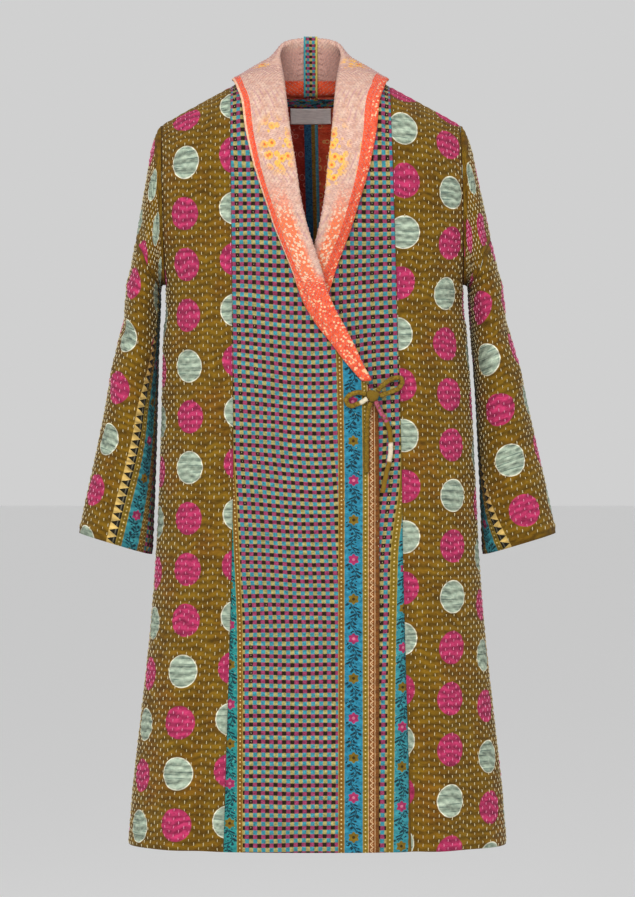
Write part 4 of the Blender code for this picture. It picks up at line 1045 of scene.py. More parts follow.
# Teal strip with a winding stem, leaves and flowers in two colours
def floralStrip(tree, place, t, v, start, width, phase, tones=("388E96", "287684", "58A4A8")):
    pitch, leafPitch = 0.0504, 0.0050
    middle = add(tree, "Math.SUBTRACT", t, start + width / 2)
    ground = cotton(tree, place, *tones, 180.0)
    local, number = repeat(tree, v, pitch, phase)
    bend = add(tree, "Math.SINE", add(tree, "Math.MULTIPLY", local, 2 * turn))
    wave = add(tree, "Math.MULTIPLY", bend, 0.0034)
    side = apart(tree, middle, wave)
    stem = below(tree, side, 0.0007, 0.0003)
    down = add(tree, "Math.MULTIPLY", repeat(tree, v, leafPitch)[0], leafPitch)
    slant = add(tree, "Math.MULTIPLY_ADD", side, -0.62, add(tree, "Math.ADD", down, 0.0022))
    leaf = below(tree, add(tree, "Math.ABSOLUTE", slant), 0.0016, 0.0003)
    leaf = add(tree, "Math.MULTIPLY", leaf, between(tree, side, 0.0008, 0.0072, 0.0006))
    breakUp = add(tree, "TexNoise", place, named={"Scale": 240.0, "Detail": 1.0})
    leaf = add(tree, "Math.MULTIPLY", leaf, add(tree, "MapRange", breakUp, 0.42, 0.46, 0.0, 1.0))
    colour = mixColour(tree, add(tree, "Math.MAXIMUM", stem, leaf), ground, "17323C")
    long = add(tree, "Math.MULTIPLY", local, pitch)
    radius = distance(tree, middle, long)
    angle = add(tree, "Math.MULTIPLY", add(tree, "Math.ARCTAN2", middle, long), 6.0)
    lobes = add(tree, "Math.MULTIPLY", add(tree, "Math.COSINE", angle), 0.0009)
    lobed = add(tree, "Math.SUBTRACT", radius, lobes)
    heart = below(tree, radius, 0.0019, 0.0004)
    pinkFlower = mixColour(tree, heart, mixColour(tree, breakUp, "6C1A3E", "C0386C"), "C47088")
    oliveFlower = mixColour(tree, heart, mixColour(tree, breakUp, "4E3E10", "92741E"), "3A2C10")
    flower = mixColour(tree, add(tree, "Math.PINGPONG", number, 1.0), pinkFlower, oliveFlower)
    colour = mixColour(tree, below(tree, lobed, 0.0078, 0.0004), colour, ground)
    return mixColour(tree, below(tree, lobed, 0.0062, 0.0004), colour, flower)


# Tan strip with a thin vine and buds between two edges
def scrollStrip(tree, place, t, v, start, width):
    middle = add(tree, "Math.SUBTRACT", t, start + width / 2)
    angle = add(tree, "Math.MULTIPLY", repeat(tree, v, 0.0074)[0], turn)
    wave = add(tree, "Math.MULTIPLY", add(tree, "Math.SINE", angle), 0.0017)
    curl = add(tree, "Math.COSINE", add(tree, "Math.MULTIPLY", angle, 2.0))
    vine = below(tree, apart(tree, middle, wave), 0.0006, 0.0003)
    bud = below(tree, apart(tree, middle, add(tree, "Math.MULTIPLY", curl, 0.0012)), 0.0004, 0.0003)
    field = below(tree, add(tree, "Math.ABSOLUTE", middle), width / 2 - 0.0007, 0.0002)
    edges = add(tree, "Math.SUBTRACT", 1.0, field)
    marks = add(tree, "Math.MAXIMUM", add(tree, "Math.MAXIMUM", vine, bud), edges)
    return mixColour(tree, marks, "7A4418", "D6B286")


# Row of black teeth with a pale spot in each
def toothStrip(tree, place, t, v, start, width):
    local = add(tree, "Math.ABSOLUTE", repeat(tree, v, 0.0110)[0])
    point = add(tree, "Math.SUBTRACT", 1.0, add(tree, "Math.MULTIPLY", local, 2.0))
    reach = add(tree, "Math.MULTIPLY", add(tree, "Math.SUBTRACT", t, start), 1.0 / width)
    inside = below(tree, add(tree, "Math.SUBTRACT", reach, point), 0.0, 0.04)
    black = mixColour(tree, below(tree, apart(tree, reach, 0.72), 0.05, 0.03), "1F1C12", "6E6A58")
    return mixColour(tree, inside, black, "D6B468")


# Lays strips side by side over a ground. Each is a width and a colour, or a width, a strip and its choices.
def layStrips(tree, colour, place, t, v, start, strips):
    for width, strip, *choices in strips:
        if callable(strip):
            strip = strip(tree, place, t, v, start, width, *choices)
        colour = mixColour(tree, between(tree, t, start, start + width), colour, strip)
        start += width
    return colour


# Quilted cotton: rough, slightly fuzzy, with the weave and the small ridges between stitches. Its colour
# carries painted shade in the crush lows. Given a range, it also carries painted shade in the quilting
# hollows and painted light on the puffs.
def quiltedCotton(name, paint, ripple=0.0005, relief=None):
    material, tree, shader = newMaterial(name)
    place, u, v = mapPlace(tree, "cloth")
    colour = paint(tree, place, u, v)
    stray = add(tree, "TexNoise", place, named={"Scale": 45.0, "Detail": 1.0})
    stray = add(tree, "Math.MULTIPLY", stray, 9.0)
    ridges = add(tree, "Math.MULTIPLY_ADD", v, turn / quilt["pitch"] * 2, stray)
    weave = streaks(tree, place, 1500.0, 1500.0)
    crushBumpsAndShade = streaks(tree, place, 90.0, 190.0, 3.0)
    height = add(tree, "Math.MULTIPLY_ADD", weave, 0.00022, add(tree, "Math.MULTIPLY", crushBumpsAndShade, ripple * 1.6))
    height = add(tree, "Math.MULTIPLY_ADD", add(tree, "Math.SINE", ridges), ripple * 0.35, height)
    bump = add(tree, "Bump", named={"Height": height, "Strength": 0.9, "Distance": 1.0})
    # painted shade: the colour value follows the crush bumps, darker in their lows and lighter on their tops
    shade = add(tree, "MapRange", crushBumpsAndShade, 0.3, 0.7, 0.84, 1.06)
    # painted shade: darker in the quilting hollows and lighter on the puffs, from the relief attribute over
    # the given range
    if relief:
        raised = add(tree, "Attribute", out=2, attribute_name="relief")
        shade = add(tree, "Math.MULTIPLY", shade, add(tree, "MapRange", raised, 0.15, 0.95, *relief))
    shaded = add(tree, "HueSaturation", named={"Color": colour, "Value": shade})
    rough = add(tree, "MapRange", weave, 0.3, 0.7, 0.82, 0.96)
    for label, value in (("Base Color", shaded), ("Normal", bump), ("Roughness", rough)):
        tree.links.new(value, shader.inputs[label])
    shader.inputs["Sheen Weight"].default_value = 0.03
    shader.inputs["Sheen Roughness"].default_value = 0.6
    shader.inputs["Specular IOR Level"].default_value = 0.15
    return material


# Running stitches: rows of short threads laid on the cloth by a node tree
thread = {"length": 0.0048, "width": 0.0012, "height": 0.0008, "stray": 0.0004, "swing": 0.06, "skip": 0.012}


# One thread of unit size: a ridge along Y that sinks into the cloth at both ends
def stitchGrain():
    half, wide, tall = 0.5, 0.5, 1.0
    vertices = [(0, -half, -0.1), (0, half, -0.1)]
    for y in (-0.28, 0.28):
        vertices += [(-wide, y, 0.0), (wide, y, 0.0), (0, y, tall)]
    faces = [(0, 2, 4), (0, 4, 3), (0, 3, 2), (1, 7, 5), (1, 6, 7), (1, 5, 6)]
    for a, b in ((2, 4), (4, 3), (3, 2)):
        faces.append((a, a + 3, b + 3, b))
    mesh = bpy.data.meshes.new("stitch_grain")
    mesh.from_pydata(vertices, [], faces)
    outwardFaces(mesh)
    mesh.shade_smooth()
    return addObject("stitch_grain", mesh)


def stitchTree():
    tree = bpy.data.node_groups.new("stitches", "GeometryNodeTree")
    inputs = (("Points", "Geometry"), ("Grain", "Object"), ("Size", "Vector"), ("Thread", "Material"))
    for label, kind in inputs:
        tree.interface.new_socket(label, in_out="INPUT", socket_type="NodeSocket" + kind)
    tree.interface.new_socket("Stitches", in_out="OUTPUT", socket_type="NodeSocketGeometry")
    given = tree.nodes.new("NodeGroupInput").outputs
    grain = tree.nodes.new("GeometryNodeObjectInfo")
    tree.links.new(given["Grain"], grain.inputs["Object"])
    heading = add(tree, "GeometryNodeInputNamedAttribute", "heading", data_type="FLOAT_VECTOR")
    stretch = add(tree, "GeometryNodeInputNamedAttribute", "stretch", data_type="FLOAT")
    scale = add(tree, "VectorMath.SCALE", named={"Vector": given["Size"], "Scale": stretch})
    laid = add(tree, "GeometryNodeInstanceOnPoints", named={
        "Points": given["Points"], "Instance": grain.outputs["Geometry"],
        "Rotation": heading, "Scale": scale})
    real = add(tree, "GeometryNodeRealizeInstances", named={"Geometry": laid})
    painted = add(tree, "GeometryNodeSetMaterial", named={"Geometry": real, "Material": given["Thread"]})
    tree.links.new(painted, tree.nodes.new("NodeGroupOutput").inputs[0])
    return tree


# Cotton thread: the tint runs from cream through pink to dull rose
def threadMaterial():
    material, tree, shader = newMaterial("cotton_thread")
    tint = add(tree, "Attribute", out=2, attribute_name="tint")
    fibre = add(tree, "TexNoise", add(tree, "TexCoord", out=3), named={"Scale": 900.0, "Detail": 1.0})
    cream = mixColour(tree, fibre, "BCAA7C", "E4D8AE")
    rose = mixColour(tree, fibre, "D2668E", "F0A0BC")
    dull = mixColour(tree, fibre, "A88484", "D8B4AC")
    first = mixColour(tree, add(tree, "MapRange", tint, 0.2, 0.3, 0.0, 1.0), cream, rose)
    colour = mixColour(tree, add(tree, "MapRange", tint, 0.7, 0.8, 0.0, 1.0), first, dull)
    tree.links.new(colour, shader.inputs["Base Color"])
    bump = add(tree, "Bump", named={"Height": fibre, "Strength": 0.4, "Distance": 0.0003})
    tree.links.new(bump, shader.inputs["Normal"])
    shader.inputs["Roughness"].default_value = 0.7
    shader.inputs["Sheen Weight"].default_value = 0.1
    return material


def gridNormals(points, outward):
    normal = unit(np.cross(np.gradient(points, axis=0), np.gradient(points, axis=1)))
    facing = np.sum(normal * outward, axis=-1, keepdims=True)
    return np.where(facing > 0, normal, -normal)


# Places on a cloth grid where threads lie, from its own arcs across (u) and down (v)
def stitchPlaces(skin, normals, u, v, column, pitch, length, slant=0.0, seed=0):
    a = u * math.cos(slant) - v * math.sin(slant)
    b = u * math.sin(slant) + v * math.cos(slant)
    low, high = math.ceil(a.min() / column), math.floor(a.max() / column)
    wanted = np.arange(low, high + 1)
    rows, columns = u.shape
    index = np.arange(columns)
    at = np.full((rows, len(wanted)), np.nan)
    for i in range(rows):
        order = slice(None) if a[i, -1] > a[i, 0] else slice(None, None, -1)
        at[i] = np.interp(wanted * column, a[i][order], index[order], left=np.nan, right=np.nan)
    whole = np.clip(np.nan_to_num(at).astype(int), 0, columns - 2)
    part = (at - whole)[..., None]
    row = np.arange(rows)[:, None]
    lines = skin[row, whole] * (1 - part) + skin[row, whole + 1] * part
    facing = normals[row, whole]
    down = b[row, whole] * (1 - part[..., 0]) + b[row, whole + 1] * part[..., 0]
    random = np.random.default_rng(seed)
    places, headings, normalsAt, flats, lengths = [], [], [], [], []
    for k, number in enumerate(wanted):
        good = ~np.isnan(at[:, k])
        if good.sum() < 6:
            continue
        line, arc, face = lines[good, k], down[good, k], facing[good, k]
        if arc[-1] < arc[0]:
            line, arc, face = line[::-1], arc[::-1], face[::-1]
        start = math.ceil((arc[0] + length) / pitch)
        marks = np.arange(start, arc[-1] / pitch - 0.6)
        marks = marks * pitch + (pitch / 2 if number % 2 == 0 else 0.0)
        marks = marks[(marks > arc[0] + length * 0.6) & (marks < arc[-1] - length * 0.6)]
        marks = marks[random.random(len(marks)) > thread["skip"]]
        marks = marks + random.normal(0, thread["stray"], len(marks))
        long = length * random.uniform(0.82, 1.15, len(marks))
        ends = [pointsAt(marks + share * long, arc, line) for share in (-0.5, 0.0, 0.5)]
        face = pointsAt(marks, arc, face)
        places.append((ends[0] + ends[2] + 2 * ends[1]) / 4)
        headings.append(unit(ends[2] - ends[0]))
        normalsAt.append(unit(face))
        flats.append(np.stack([np.full(len(marks), number * column), marks], axis=-1))
        lengths.append(long / length)
    flat = np.concatenate(flats)
    back = np.stack([flat[:, 0] * math.cos(slant) + flat[:, 1] * math.sin(slant),
                     -flat[:, 0] * math.sin(slant) + flat[:, 1] * math.cos(slant)], axis=-1)
    return (np.concatenate(places), np.concatenate(headings), np.concatenate(normalsAt), back,
            np.concatenate(lengths))


def stitchPiece(name, places, headings, normals, tints, stretch, size, seed):
    random = np.random.default_rng(seed)
    swing = random.normal(0, thread["swing"], len(places))[:, None]
    side = unit(np.cross(headings, normals))
    headings = unit(headings + side * swing)
    side = unit(np.cross(headings, normals))
    up = np.cross(side, headings)
    turns = []
    for x, y, z in zip(side, headings, up):
        turns.append(Matrix((x, y, z)).transposed().to_euler()[:])
    mesh = bpy.data.meshes.new(name + "_points")
    mesh.from_pydata((places + normals * 0.00005).tolist(), [], [])
    for label, kind, values in (("heading", "FLOAT_VECTOR", np.array(turns)), ("tint", "FLOAT", tints),
                                ("stretch", "FLOAT", stretch)):
        layer = mesh.attributes.new(label, kind, "POINT")
        layer.data.foreach_set("vector" if kind == "FLOAT_VECTOR" else "value", np.asarray(values).ravel())
    host = addObject(name + "_host", mesh)
    modifier = host.modifiers.new("stitches", "NODES")
    modifier.node_group = stitching["tree"]
    values = {"Grain": stitching["grain"], "Size": size, "Thread": stitching["thread"]}
    for socket in stitching["tree"].interface.items_tree:
        if socket.in_out == "INPUT" and socket.name in values:
            modifier[socket.identifier] = values[socket.name]
    graph = bpy.context.evaluated_depsgraph_get()
    laid = bpy.data.meshes.new_from_object(host.evaluated_get(graph))
    laid.name = name
    bpy.data.objects.remove(host, do_unlink=True)
    return addObject(name, laid)


# 0 on the ground, 1 on a pink dot and 2 on a mint dot, as the cloth is printed
def dotKind(u, v, layout):
    out = np.abs(u)
    down = v - layout["tilt"] * out - layout["row"]
    column = np.floor(out / layout["across"] + 0.5)
    row = np.floor(down / layout["pitch"] + 0.5)
    across = out - column * layout["across"]
    off = np.hypot(across, down - row * layout["pitch"] + layout["tilt"] * across)
    special = np.abs((row + layout["shift"]) % 6 - 3) == 2
    mint = np.where(column % 2 == 0, row % 2 == 0, special)
    return np.where(off > dotSize["radius"], 0, np.where(mint, 2, 1))


# Printed dots of each cloth: repeat down and across, first mint row, start of the odd columns and
# lean of the rows
dotPrint = {
    "front_right": {"pitch": 0.0653, "across": 0.0718, "row": 0.1037, "shift": 0.0, "tilt": 0.08},
    "front_left": {"pitch": 0.0650, "across": 0.0715, "row": 0.1352, "shift": 4.0, "tilt": 0.17},
    "back_right": {"pitch": 0.0653, "across": 0.0690, "row": 0.0820, "shift": 2.0, "tilt": 0.0},
    "back_left": {"pitch": 0.0653, "across": 0.0690, "row": 0.1140, "shift": 5.0, "tilt": 0.0},
    "sleeve_right": {"pitch": 0.0686, "across": 0.0715, "row": -0.0083, "shift": 0.0, "tilt": 0.0},
    "sleeve_left": {"pitch": 0.0686, "across": 0.0715, "row": -0.0275, "shift": 4.0, "tilt": 0.0},
    "upper_right": {"pitch": 0.0930, "across": 0.0530, "row": 0.2790, "shift": 0.0, "tilt": 0.8},
    "upper_left": {"pitch": 0.0670, "across": 0.0715, "row": 0.4754, "shift": 4.0, "tilt": 0.0},
}


def dotPaint(name):
    return lambda tree, place, u, v: dotColour(tree, place, u, v, dotPrint[name])


# Check cloth of the top front: bands along its own edge and beyond the outer line of the check
def topFrontPaint(tree, place, u, v):
    edgePlace, e, down = mapPlace(tree, "band", 0.0003)
    out = add(tree, "Math.MULTIPLY", u, -1.0)
    colour = layStrips(tree, checkColour(tree, place, u, v), edgePlace, out, down, 0.0, [
        (0.0075, goldStrip),
        (0.0190, floralStrip, 0.868, ("2A8C86", "1E7678", "4CA098")),
        (0.2, cotton(tree, place, *olive)),
    ])
    return layStrips(tree, colour, edgePlace, e, down, -0.3, [
        (0.3049, cotton(tree, place, "7C4A1C", "5E3414", "96602A", 200.0)),
        (0.0090, scrollStrip),
        (0.0071, goldStrip, "7C6418"),
        (0.0232, floralStrip, 0.482, ("2C86A0", "1C6A86", "4E9CB0")),
        (0.0080, goldStrip),
    ])


def underFrontPaint(tree, place, u, v):
    edgePlace, _, down = mapPlace(tree, "band", 0.0003)
    return layStrips(tree, checkColour(tree, place, u, v), edgePlace, u, down, 0.0, [
        (0.0095, goldStrip, "7C6418"),
        (0.0200, floralStrip, 0.897),
        (0.2, cotton(tree, place, *olive)),
    ])


def lowerSleevePaint(name, phase):
    def paint(tree, place, u, v):
        bandPlace, t, down = mapPlace(tree, "band", 0.0003)
        return layStrips(tree, dotColour(tree, place, u, v, dotPrint[name]), bandPlace, t, down, 0.0, [
            (0.0120, toothStrip),
            (0.0085, goldStrip, "7C6418"),
            (0.0225, floralStrip, phase),
            (0.0062, goldStrip),
            (0.0062, goldStrip, "6A4A14"),
            (0.3, checkColour(tree, bandPlace, t, down)),
        ])
    return paint


# Collar cloth: pale ground with slanting rows of thread, flower clusters and a coral border
collarFlowers = {
    -1: [(0.036, 0.285, 0.023, 0.038), (0.045, 0.125, 0.012, 0.014), (0.022, 0.070, 0.012, 0.020)],
    1: [(0.050, 0.300, 0.021, 0.046), (0.050, 0.125, 0.022, 0.030), (0.010, 0.300, 0.010, 0.050)],
}


def collarPaint(ownSide):
    def paint(tree, place, u, v):
        bandPlace, e, down = mapPlace(tree, "band", 0.0006)
        ground = cotton(tree, place, "DCB9A4", "CB9C86", "EAD2C0", 120.0)
        zig = add(tree, "Math.ABSOLUTE", repeat(tree, down, 0.078, 0.02)[0])
        slope = add(tree, "Math.MULTIPLY_ADD", zig, 0.075, add(tree, "Math.MULTIPLY", e, 0.55))
        rows, _ = repeat(tree, add(tree, "Math.MULTIPLY_ADD", down, 0.80, slope), 0.0040)
        gaps = streaks(tree, bandPlace, 330.0, 60.0)
        mark = add(tree, "Math.MULTIPLY", below(tree, add(tree, "Math.ABSOLUTE", rows), 0.17, 0.08),
                   add(tree, "MapRange", gaps, 0.42, 0.5, 0.2, 0.8))
        colour = mixColour(tree, mark, ground, "C39492")
        petals = add(tree, "TexVoronoi", bandPlace, named={"Scale": 110.0}, out=0)
        warm = mixColour(tree, add(tree, "MapRange", petals, 0.16, 0.30, 0.0, 1.0), "E2702A", "F2B858")
        for middle, along, half, reach in collarFlowers[ownSide]:
            a = add(tree, "Math.DIVIDE", add(tree, "Math.SUBTRACT", e, middle), half)
            b = add(tree, "Math.DIVIDE", add(tree, "Math.SUBTRACT", down, along), reach)
            near = add(tree, "MapRange", distance(tree, a, b), 0.6, 1.1, 1.0, 0.0)
            leaf = add(tree, "MapRange", petals, 0.50, 0.56, 1.0, 0.0)
            colour = mixColour(tree, add(tree, "Math.MULTIPLY", near, leaf), colour, warm)
        coral = cotton(tree, bandPlace, "EE6240", "DA4630", "F88E62", 160.0)
        bits = add(tree, "TexVoronoi", bandPlace, named={"Scale": 230.0}, out=0)
        peach = mixColour(tree, add(tree, "MapRange", bits, 0.28, 0.36, 1.0, 0.0), coral, "F6BE92")
        paisley = mixColour(tree, add(tree, "MapRange", bits, 0.40, 0.46, 1.0, 0.0), "EE7A50", "F2C8A8")
        low = add(tree, "MapRange", down, 0.330, 0.385, 0.0, 1.0)
        colour = mixColour(tree, add(tree, "Math.MULTIPLY", low, between(tree, e, 0.0, 0.036, 0.004)),
                           colour, paisley)
        border = [(0.0110, peach), (0.0085, coral)]
        if ownSide < 0:
            border = [(0.0048, mixColour(tree, bits, "F2A87C", "F6D2B4")), (0.0075, coral)]
        colour = layStrips(tree, colour, bandPlace, e, down, -0.002, border)
        end = add(tree, "MapRange", down, 0.455, 0.480, 0.0, 1.0)
        colour = mixColour(tree, end, colour, peach)
        stand = add(tree, "Math.MULTIPLY", below(tree, u, 0.0215, 0.001), below(tree, down, 0.16, 0.02))
        inner = add(tree, "Math.MULTIPLY", below(tree, u, 0.064, 0.004), below(tree, down, 0.15, 0.03))
        colour = mixColour(tree, inner, colour, mixColour(tree, mark, "D0A294", "A87A70"))
        return mixColour(tree, stand, colour, cotton(tree, place, "F0603A", "D84628", "F88058", 120.0))
    return paint


# Printed cotton on the reverse: small rings of another colour
def reversePaint(marks, *tones):
    def paint(tree, place, u, v):
        spots = add(tree, "TexVoronoi", place, named={"Scale": 95.0}, out=0)
        ring = add(tree, "Math.MULTIPLY", between(tree, spots, 0.26, 0.34, 0.03), 0.7)
        return mixColour(tree, ring, cotton(tree, place, *tones, 60.0), marks)
    return paint


# Printed cotton of the neck binding: teal, rose, olive and dark blue flecks
def bindingPaint(tree, place, u, v):
    cells = add(tree, "TexVoronoi", place, named={"Scale": 260.0}, out=1)
    parts = tree.nodes.new("ShaderNodeSeparateColor")
    tree.links.new(cells, parts.inputs[0])
    colour = mixColour(tree, between(tree, parts.outputs[0], 0.45, 0.72, 0.01), "2F7D8C", "9A3E66")
    colour = mixColour(tree, between(tree, parts.outputs[0], 0.76, 1.1, 0.01), colour, "8A7A2A")
    return mixColour(tree, between(tree, parts.outputs[1], 0.72, 1.1, 0.01), colour, "1E3A44")


# Printed cotton over the back seam: blue on one half, gold and light blue on the other
def seamStripPaint(tree, place, u, v):
    blue = cotton(tree, place, "2F6F98", "1F4C78", "5A9AB8", 320.0)
    spots = add(tree, "TexVoronoi", place, named={"Scale": 330.0}, out=0)
    blue = mixColour(tree, add(tree, "MapRange", spots, 0.22, 0.3, 0.9, 0.0), blue, "14283C")
    gold = cotton(tree, place, "9A7A2E", "6E5218", "C8AC5A", 320.0)
    pale = cotton(tree, place, "5FA8BC", "3E86A4", "8CC8CC", 320.0)
    right = mixColour(tree, between(tree, u, 0.0052, 0.02, 0.0003), gold, pale)
    return mixColour(tree, between(tree, u, 0.0002, 0.02, 0.0003), blue, right)


# Woven cotton of the collar strip: small check with a teal and a gold edge
def collarStripPaint(tree, place, u, v):
    colour = checkColour(tree, place, u, v, 0.0075, 0.0078)
    edge = add(tree, "Math.ABSOLUTE", u)
    side = between(tree, edge, 0.0066, 0.02, 0.0002)
    return mixColour(tree, side, colour, mixColour(tree, between(tree, u, 0.0, 0.02), "3E98A4", "C8B45A"))


# Satin woven label: fine cross threads, no wording
def labelPaint(tree, place, u, v):
    rib, _ = repeat(tree, v, 0.0008)
    return mixColour(tree, add(tree, "Math.ABSOLUTE", rib), "FBFAF6", "EFEDE8")


# Tie cotton in one tone, with others from stated lengths along the strand
def tiePaint(tone, *changes):
    def paint(tree, place, u, v):
        colour = cotton(tree, place, tone, "5E4810", "A0842E", 260.0)
        for start, later in changes:
            colour = mixColour(tree, between(tree, v, start, 1.0, 0.0012), colour, later)
        return colour
    return paint


print("cloth colours")
puckerShade = (0.44, 1.16)  # painted shade in the quilting hollows and painted light on the puffs of the dotted cloth
# the same painted shade and light, fainter, on the check cloth
checkPuckerShade = (0.80, 1.08)
cloths = {
    "reverse": quiltedCotton("coral_reverse", reversePaint("F0B48A", "D8573C", "B83E2C", "EE7C58")),
    "back_right": quiltedCotton("dark_red_reverse", reversePaint("DC9080", "B23A2C", "8C261E", "CC5A48")),
    "back_left": quiltedCotton("red_orange_reverse", reversePaint("F4D080", "EE5E3C", "CC4026", "F89068")),
    "top": quiltedCotton("check_quilt_top", topFrontPaint, 0.0003, checkPuckerShade),
    "under": quiltedCotton("check_quilt_under", underFrontPaint, 0.0003, checkPuckerShade),
    "binding": quiltedCotton("binding_print", bindingPaint, 0.0001),
    "seam": quiltedCotton("seam_strip_print", seamStripPaint, 0.0001),
    "strip": quiltedCotton("collar_strip_check", collarStripPaint, 0.0001),
    "label": quiltedCotton("label_satin", labelPaint, 0.00005),
}
tieTones = {
    "tie_knot": ("86691E",), "tie_loop_right": ("86691E",), "tie_loop_left": ("86691E", (0.052, "D8CCB0")),
    "tie_end_left": ("7E6018",),
    "tie_end_right": ("B84478", (0.030, "7E6018"), (0.058, "D6C8AE"), (0.082, "7E6018")),
}
for name, tones in tieTones.items():
    cloths[name] = quiltedCotton(name + "_cotton", tiePaint(*tones), 0.0002)
for sideName, ownSide, phase in (("right", -1, 0.045), ("left", 1, 0.039)):
    for part in ("front_", "upper_", "back_"):
        name = part + sideName
        cloths[name + "_dots"] = quiltedCotton(name + "_dots", dotPaint(name), 0.0005, puckerShade)
    bands = lowerSleevePaint("sleeve_" + sideName, phase)
    cloths["lower_" + sideName] = quiltedCotton("sleeve_%s_bands" % sideName, bands, 0.0005, puckerShade)
    cloths["collar_" + sideName] = quiltedCotton("collar_%s_quilt" % sideName, collarPaint(ownSide), 0.0003)

stitching = {"tree": stitchTree(), "grain": stitchGrain(), "thread": threadMaterial()}
pieces = {}
sewn = {}


def sew(name, grid, tint, keep=None, slant=0.0, length=thread["length"], width=thread["width"],
        column=quilt["column"], pitch=quilt["pitch"], seed=1):
    places, headings, faces, flat, stretch = stitchPlaces(
        grid["skin"], grid["normals"], grid["u"], grid["v"], column, pitch, length, slant, seed)
    tints = tint(flat[:, 0], flat[:, 1])
    good = tints >= 0
    if keep is not None:
        good &= keep(flat[:, 0], flat[:, 1])
    sewn[name] = stitchPiece(name + "_stitches", places[good], headings[good], faces[good], tints[good],
                             stretch[good], (width, length, thread["height"]), seed)


# Short dashes in the dark squares of the check
def onDarkSquares(u, v):
    row = v / check["down"]
    return (np.abs(row - np.round(row)) < 0.26) & (np.sin(u * 911 + v * 577) > -0.5)


# Whether a place on a lower sleeve lies between its two bands
def insideBands(bands):
    return lambda u, v: np.abs(u) < readTable(bands, v)


# Thread tints on dotted cloth: bare on mint dots, pink on pink ones. The shift is a number or a table.
def dotTints(layout, shift=0.0):
    def tints(u, v):
        moved = u - (shift if np.isscalar(shift) else readTable(shift, v))
        kind = dotKind(moved, v, layout)
        return np.where(kind == 2, -1.0, np.where(kind == 1, 0.5, 0.0))
    return tints


for sideName, ownSide in (("right", -1), ("left", 1)):
    dotted = "front_%s_dots" % sideName
    name = "front_%s_side" % sideName
    pieces[name], grid = frontPanel(name, ownSide, "side", [cloths[dotted], cloths["reverse"]])
    sew(name, grid, dotTints(dotPrint["front_" + sideName]), seed=11)
    name = "front_%s_centre" % sideName
    squares = cloths["top" if ownSide < 0 else "under"]
    pieces[name], grid = frontPanel(name, ownSide, "centre", [squares, cloths["reverse"]])
    sew(name, grid, lambda u, v: np.zeros_like(u), keep=onDarkSquares, length=0.0024, width=0.0006,
        column=check["across"], pitch=check["down"], seed=12)
    name = "back_" + sideName
    pieces[name], grid = backPanel(name, ownSide, [cloths[name + "_dots"], cloths[name]])
    sew(name, grid, dotTints(dotPrint[name]), seed=13)
    upper = [cloths["upper_%s_dots" % sideName], cloths["reverse"]]
    lower = [cloths["lower_" + sideName], cloths["reverse"]]
    for name, item, grid in sleevePieces(sideName, ownSide, upper, lower):
        pieces[name] = item
        if name.endswith("upper"):
            sew(name, grid, dotTints(dotPrint["upper_" + sideName], sleeve["dots"][ownSide]), seed=14)
        else:
            sew(name, grid, dotTints(dotPrint["sleeve_" + sideName], sleeveDots[ownSide]),
                keep=insideBands(sleeveBands[ownSide]), seed=15)
    name = "collar_" + sideName
    pieces[name], grid, inner = collarPiece(name, ownSide, [cloths[name]] * 2)
    sew(name, grid, lambda u, v: np.ones_like(u), slant=0.55, length=0.0034, width=0.0006, column=0.0040,
        pitch=0.0046, seed=16)
    if ownSide < 0:
        outer = grid["skin"]
        face = inner if inner[0, 1, 1] < outer[0, 1, 1] else outer
        pieces["collar_seam_strip"] = collarStrip("collar_seam_strip", face, [cloths["strip"]] * 2)
    print(sideName, "side laid")
bpy.data.objects.remove(stitching["grain"], do_unlink=True)
pieces["back_seam_binding"] = stripPiece("back_seam_binding", [cloths["seam"]] * 2)
pieces["neck_binding"] = stripPiece("neck_binding", [cloths["binding"]] * 2)
pieces["label"] = stripPiece("label", [cloths["label"]] * 2)
pieces["tie_knot"] = tieKnot([cloths["tie_knot"]])
strands = {}
for seed, name in enumerate(tieStrands):
    pieces[name], route, length = tieStrand(name, [cloths[name]], seed)
    strands[name] = (route, length)

# Cut of each cloth before sewing, in metres: width, length and area, and how it is held
cuts = {
    "front_side": (0.185, 1.056, 0.160, "hung"), "front_centre": (0.200, 1.056, 0.150, "hung"),
    "back": (0.300, 1.056, 0.268, "hung"), "upper": (0.400, 0.200, 0.034, "hung"),
    "lower": (0.400, 0.420, 0.130, "hung"), "collar": (0.125, 0.620, 0.060, "folded"),
    "collar_seam_strip": (0.018, 0.094, None, "folded"), "back_seam_binding": (0.0185, 1.046, None, "laid"),
    "neck_binding": (0.148, 0.018, None, "laid"), "label": (0.054, 0.026, None, "laid"),
}
slots = {"collar": "collar_quilt", "front_centre": "check_quilt", "label": "label"}


def kindOf(name):
    plain = name.replace("_right", "").replace("_left", "").replace("sleeve_", "")
    return name if name in cuts else plain


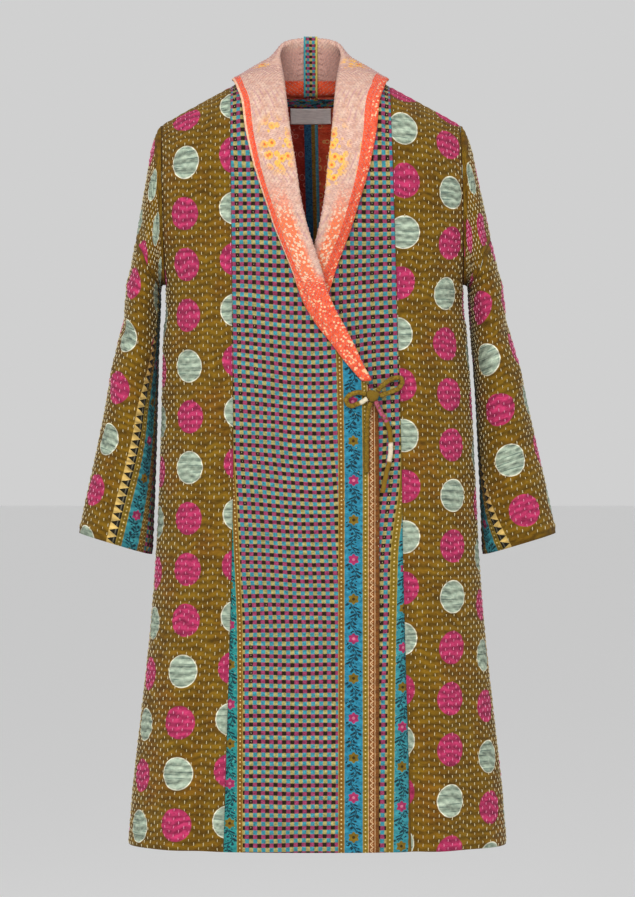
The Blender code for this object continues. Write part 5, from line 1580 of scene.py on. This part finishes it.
for name, item in pieces.items():
    item.name = name + "_cloth"
    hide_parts(name)
    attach(item, "root")
    if name.startswith("tie"):
        continue
    kind = kindOf(name)
    strip = name in cuts and name != "label"
    "binding" if strip else slots.get(kind, "dotted_quilt")
    width, length, area, held = cuts[kind]
for name, item in sewn.items():
    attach(item, "root")
    slots.get(kindOf(name), "dotted_quilt")
for name, (route, length) in strands.items():
    tuple(map(float, route[0]))
    "object" if "loop" in name else "bare"
    "loose" if "loop" in name else "hanging"
    [tuple(map(float, point)) for point in route]
items = list(pieces.values()) + list(sewn.values())
total = sum(len(face.vertices) - 2 for item in items for face in item.data.polygons)
print(len(items), "pieces with", total, "triangles in all")

bpy.context.scene.view_settings.view_transform = "Standard"
# A wide floor of pale matt paper in an even pale room, with soft light. A faint horizon shows.
stage = {"floor": -1.35, "half": 60.0, "paper": "F4F4F4", "room": 0.631, "aim": (0, 0, -0.45), "spread": 70}
paper, _, shader = newMaterial("matt_paper")
shader.inputs["Base Color"].default_value = linear(stage["paper"])
shader.inputs["Roughness"].default_value = 0.9
half = stage["half"]
mesh = bpy.data.meshes.new("floor")
mesh.from_pydata([(-half, -half, 0), (half, -half, 0), (half, half, 0), (-half, half, 0)], [], [(0, 1, 2, 3)])
mesh.materials.append(paper)
floor = addObject("floor", mesh)
floor.location = (0, 0, stage["floor"])
lamps = [("key", (-1.3, -4.0, 1.1), 2.2, 15), ("fill", (1.2, -4.6, 0.2), 2.4, 11.5),
         ("top", (0.0, -0.6, 2.6), 2.5, 3)]
for name, place, size, power in lamps:
    lamp = addObject(name, bpy.data.lights.new(name, "AREA"))
    lamp.data.shape = "DISK"
    lamp.data.size = size
    lamp.data.energy = power
    lamp.data.spread = math.radians(stage["spread"])
    lamp.location = place
    lamp.rotation_euler = (Vector(stage["aim"]) - Vector(place)).to_track_quat("-Z", "Y").to_euler()
world = bpy.data.worlds.new("room")
world.use_nodes = True
world.node_tree.nodes["Background"].inputs[0].default_value = (1, 1, 1, 1)
world.node_tree.nodes["Background"].inputs[1].default_value = stage["room"]
bpy.context.scene.world = world
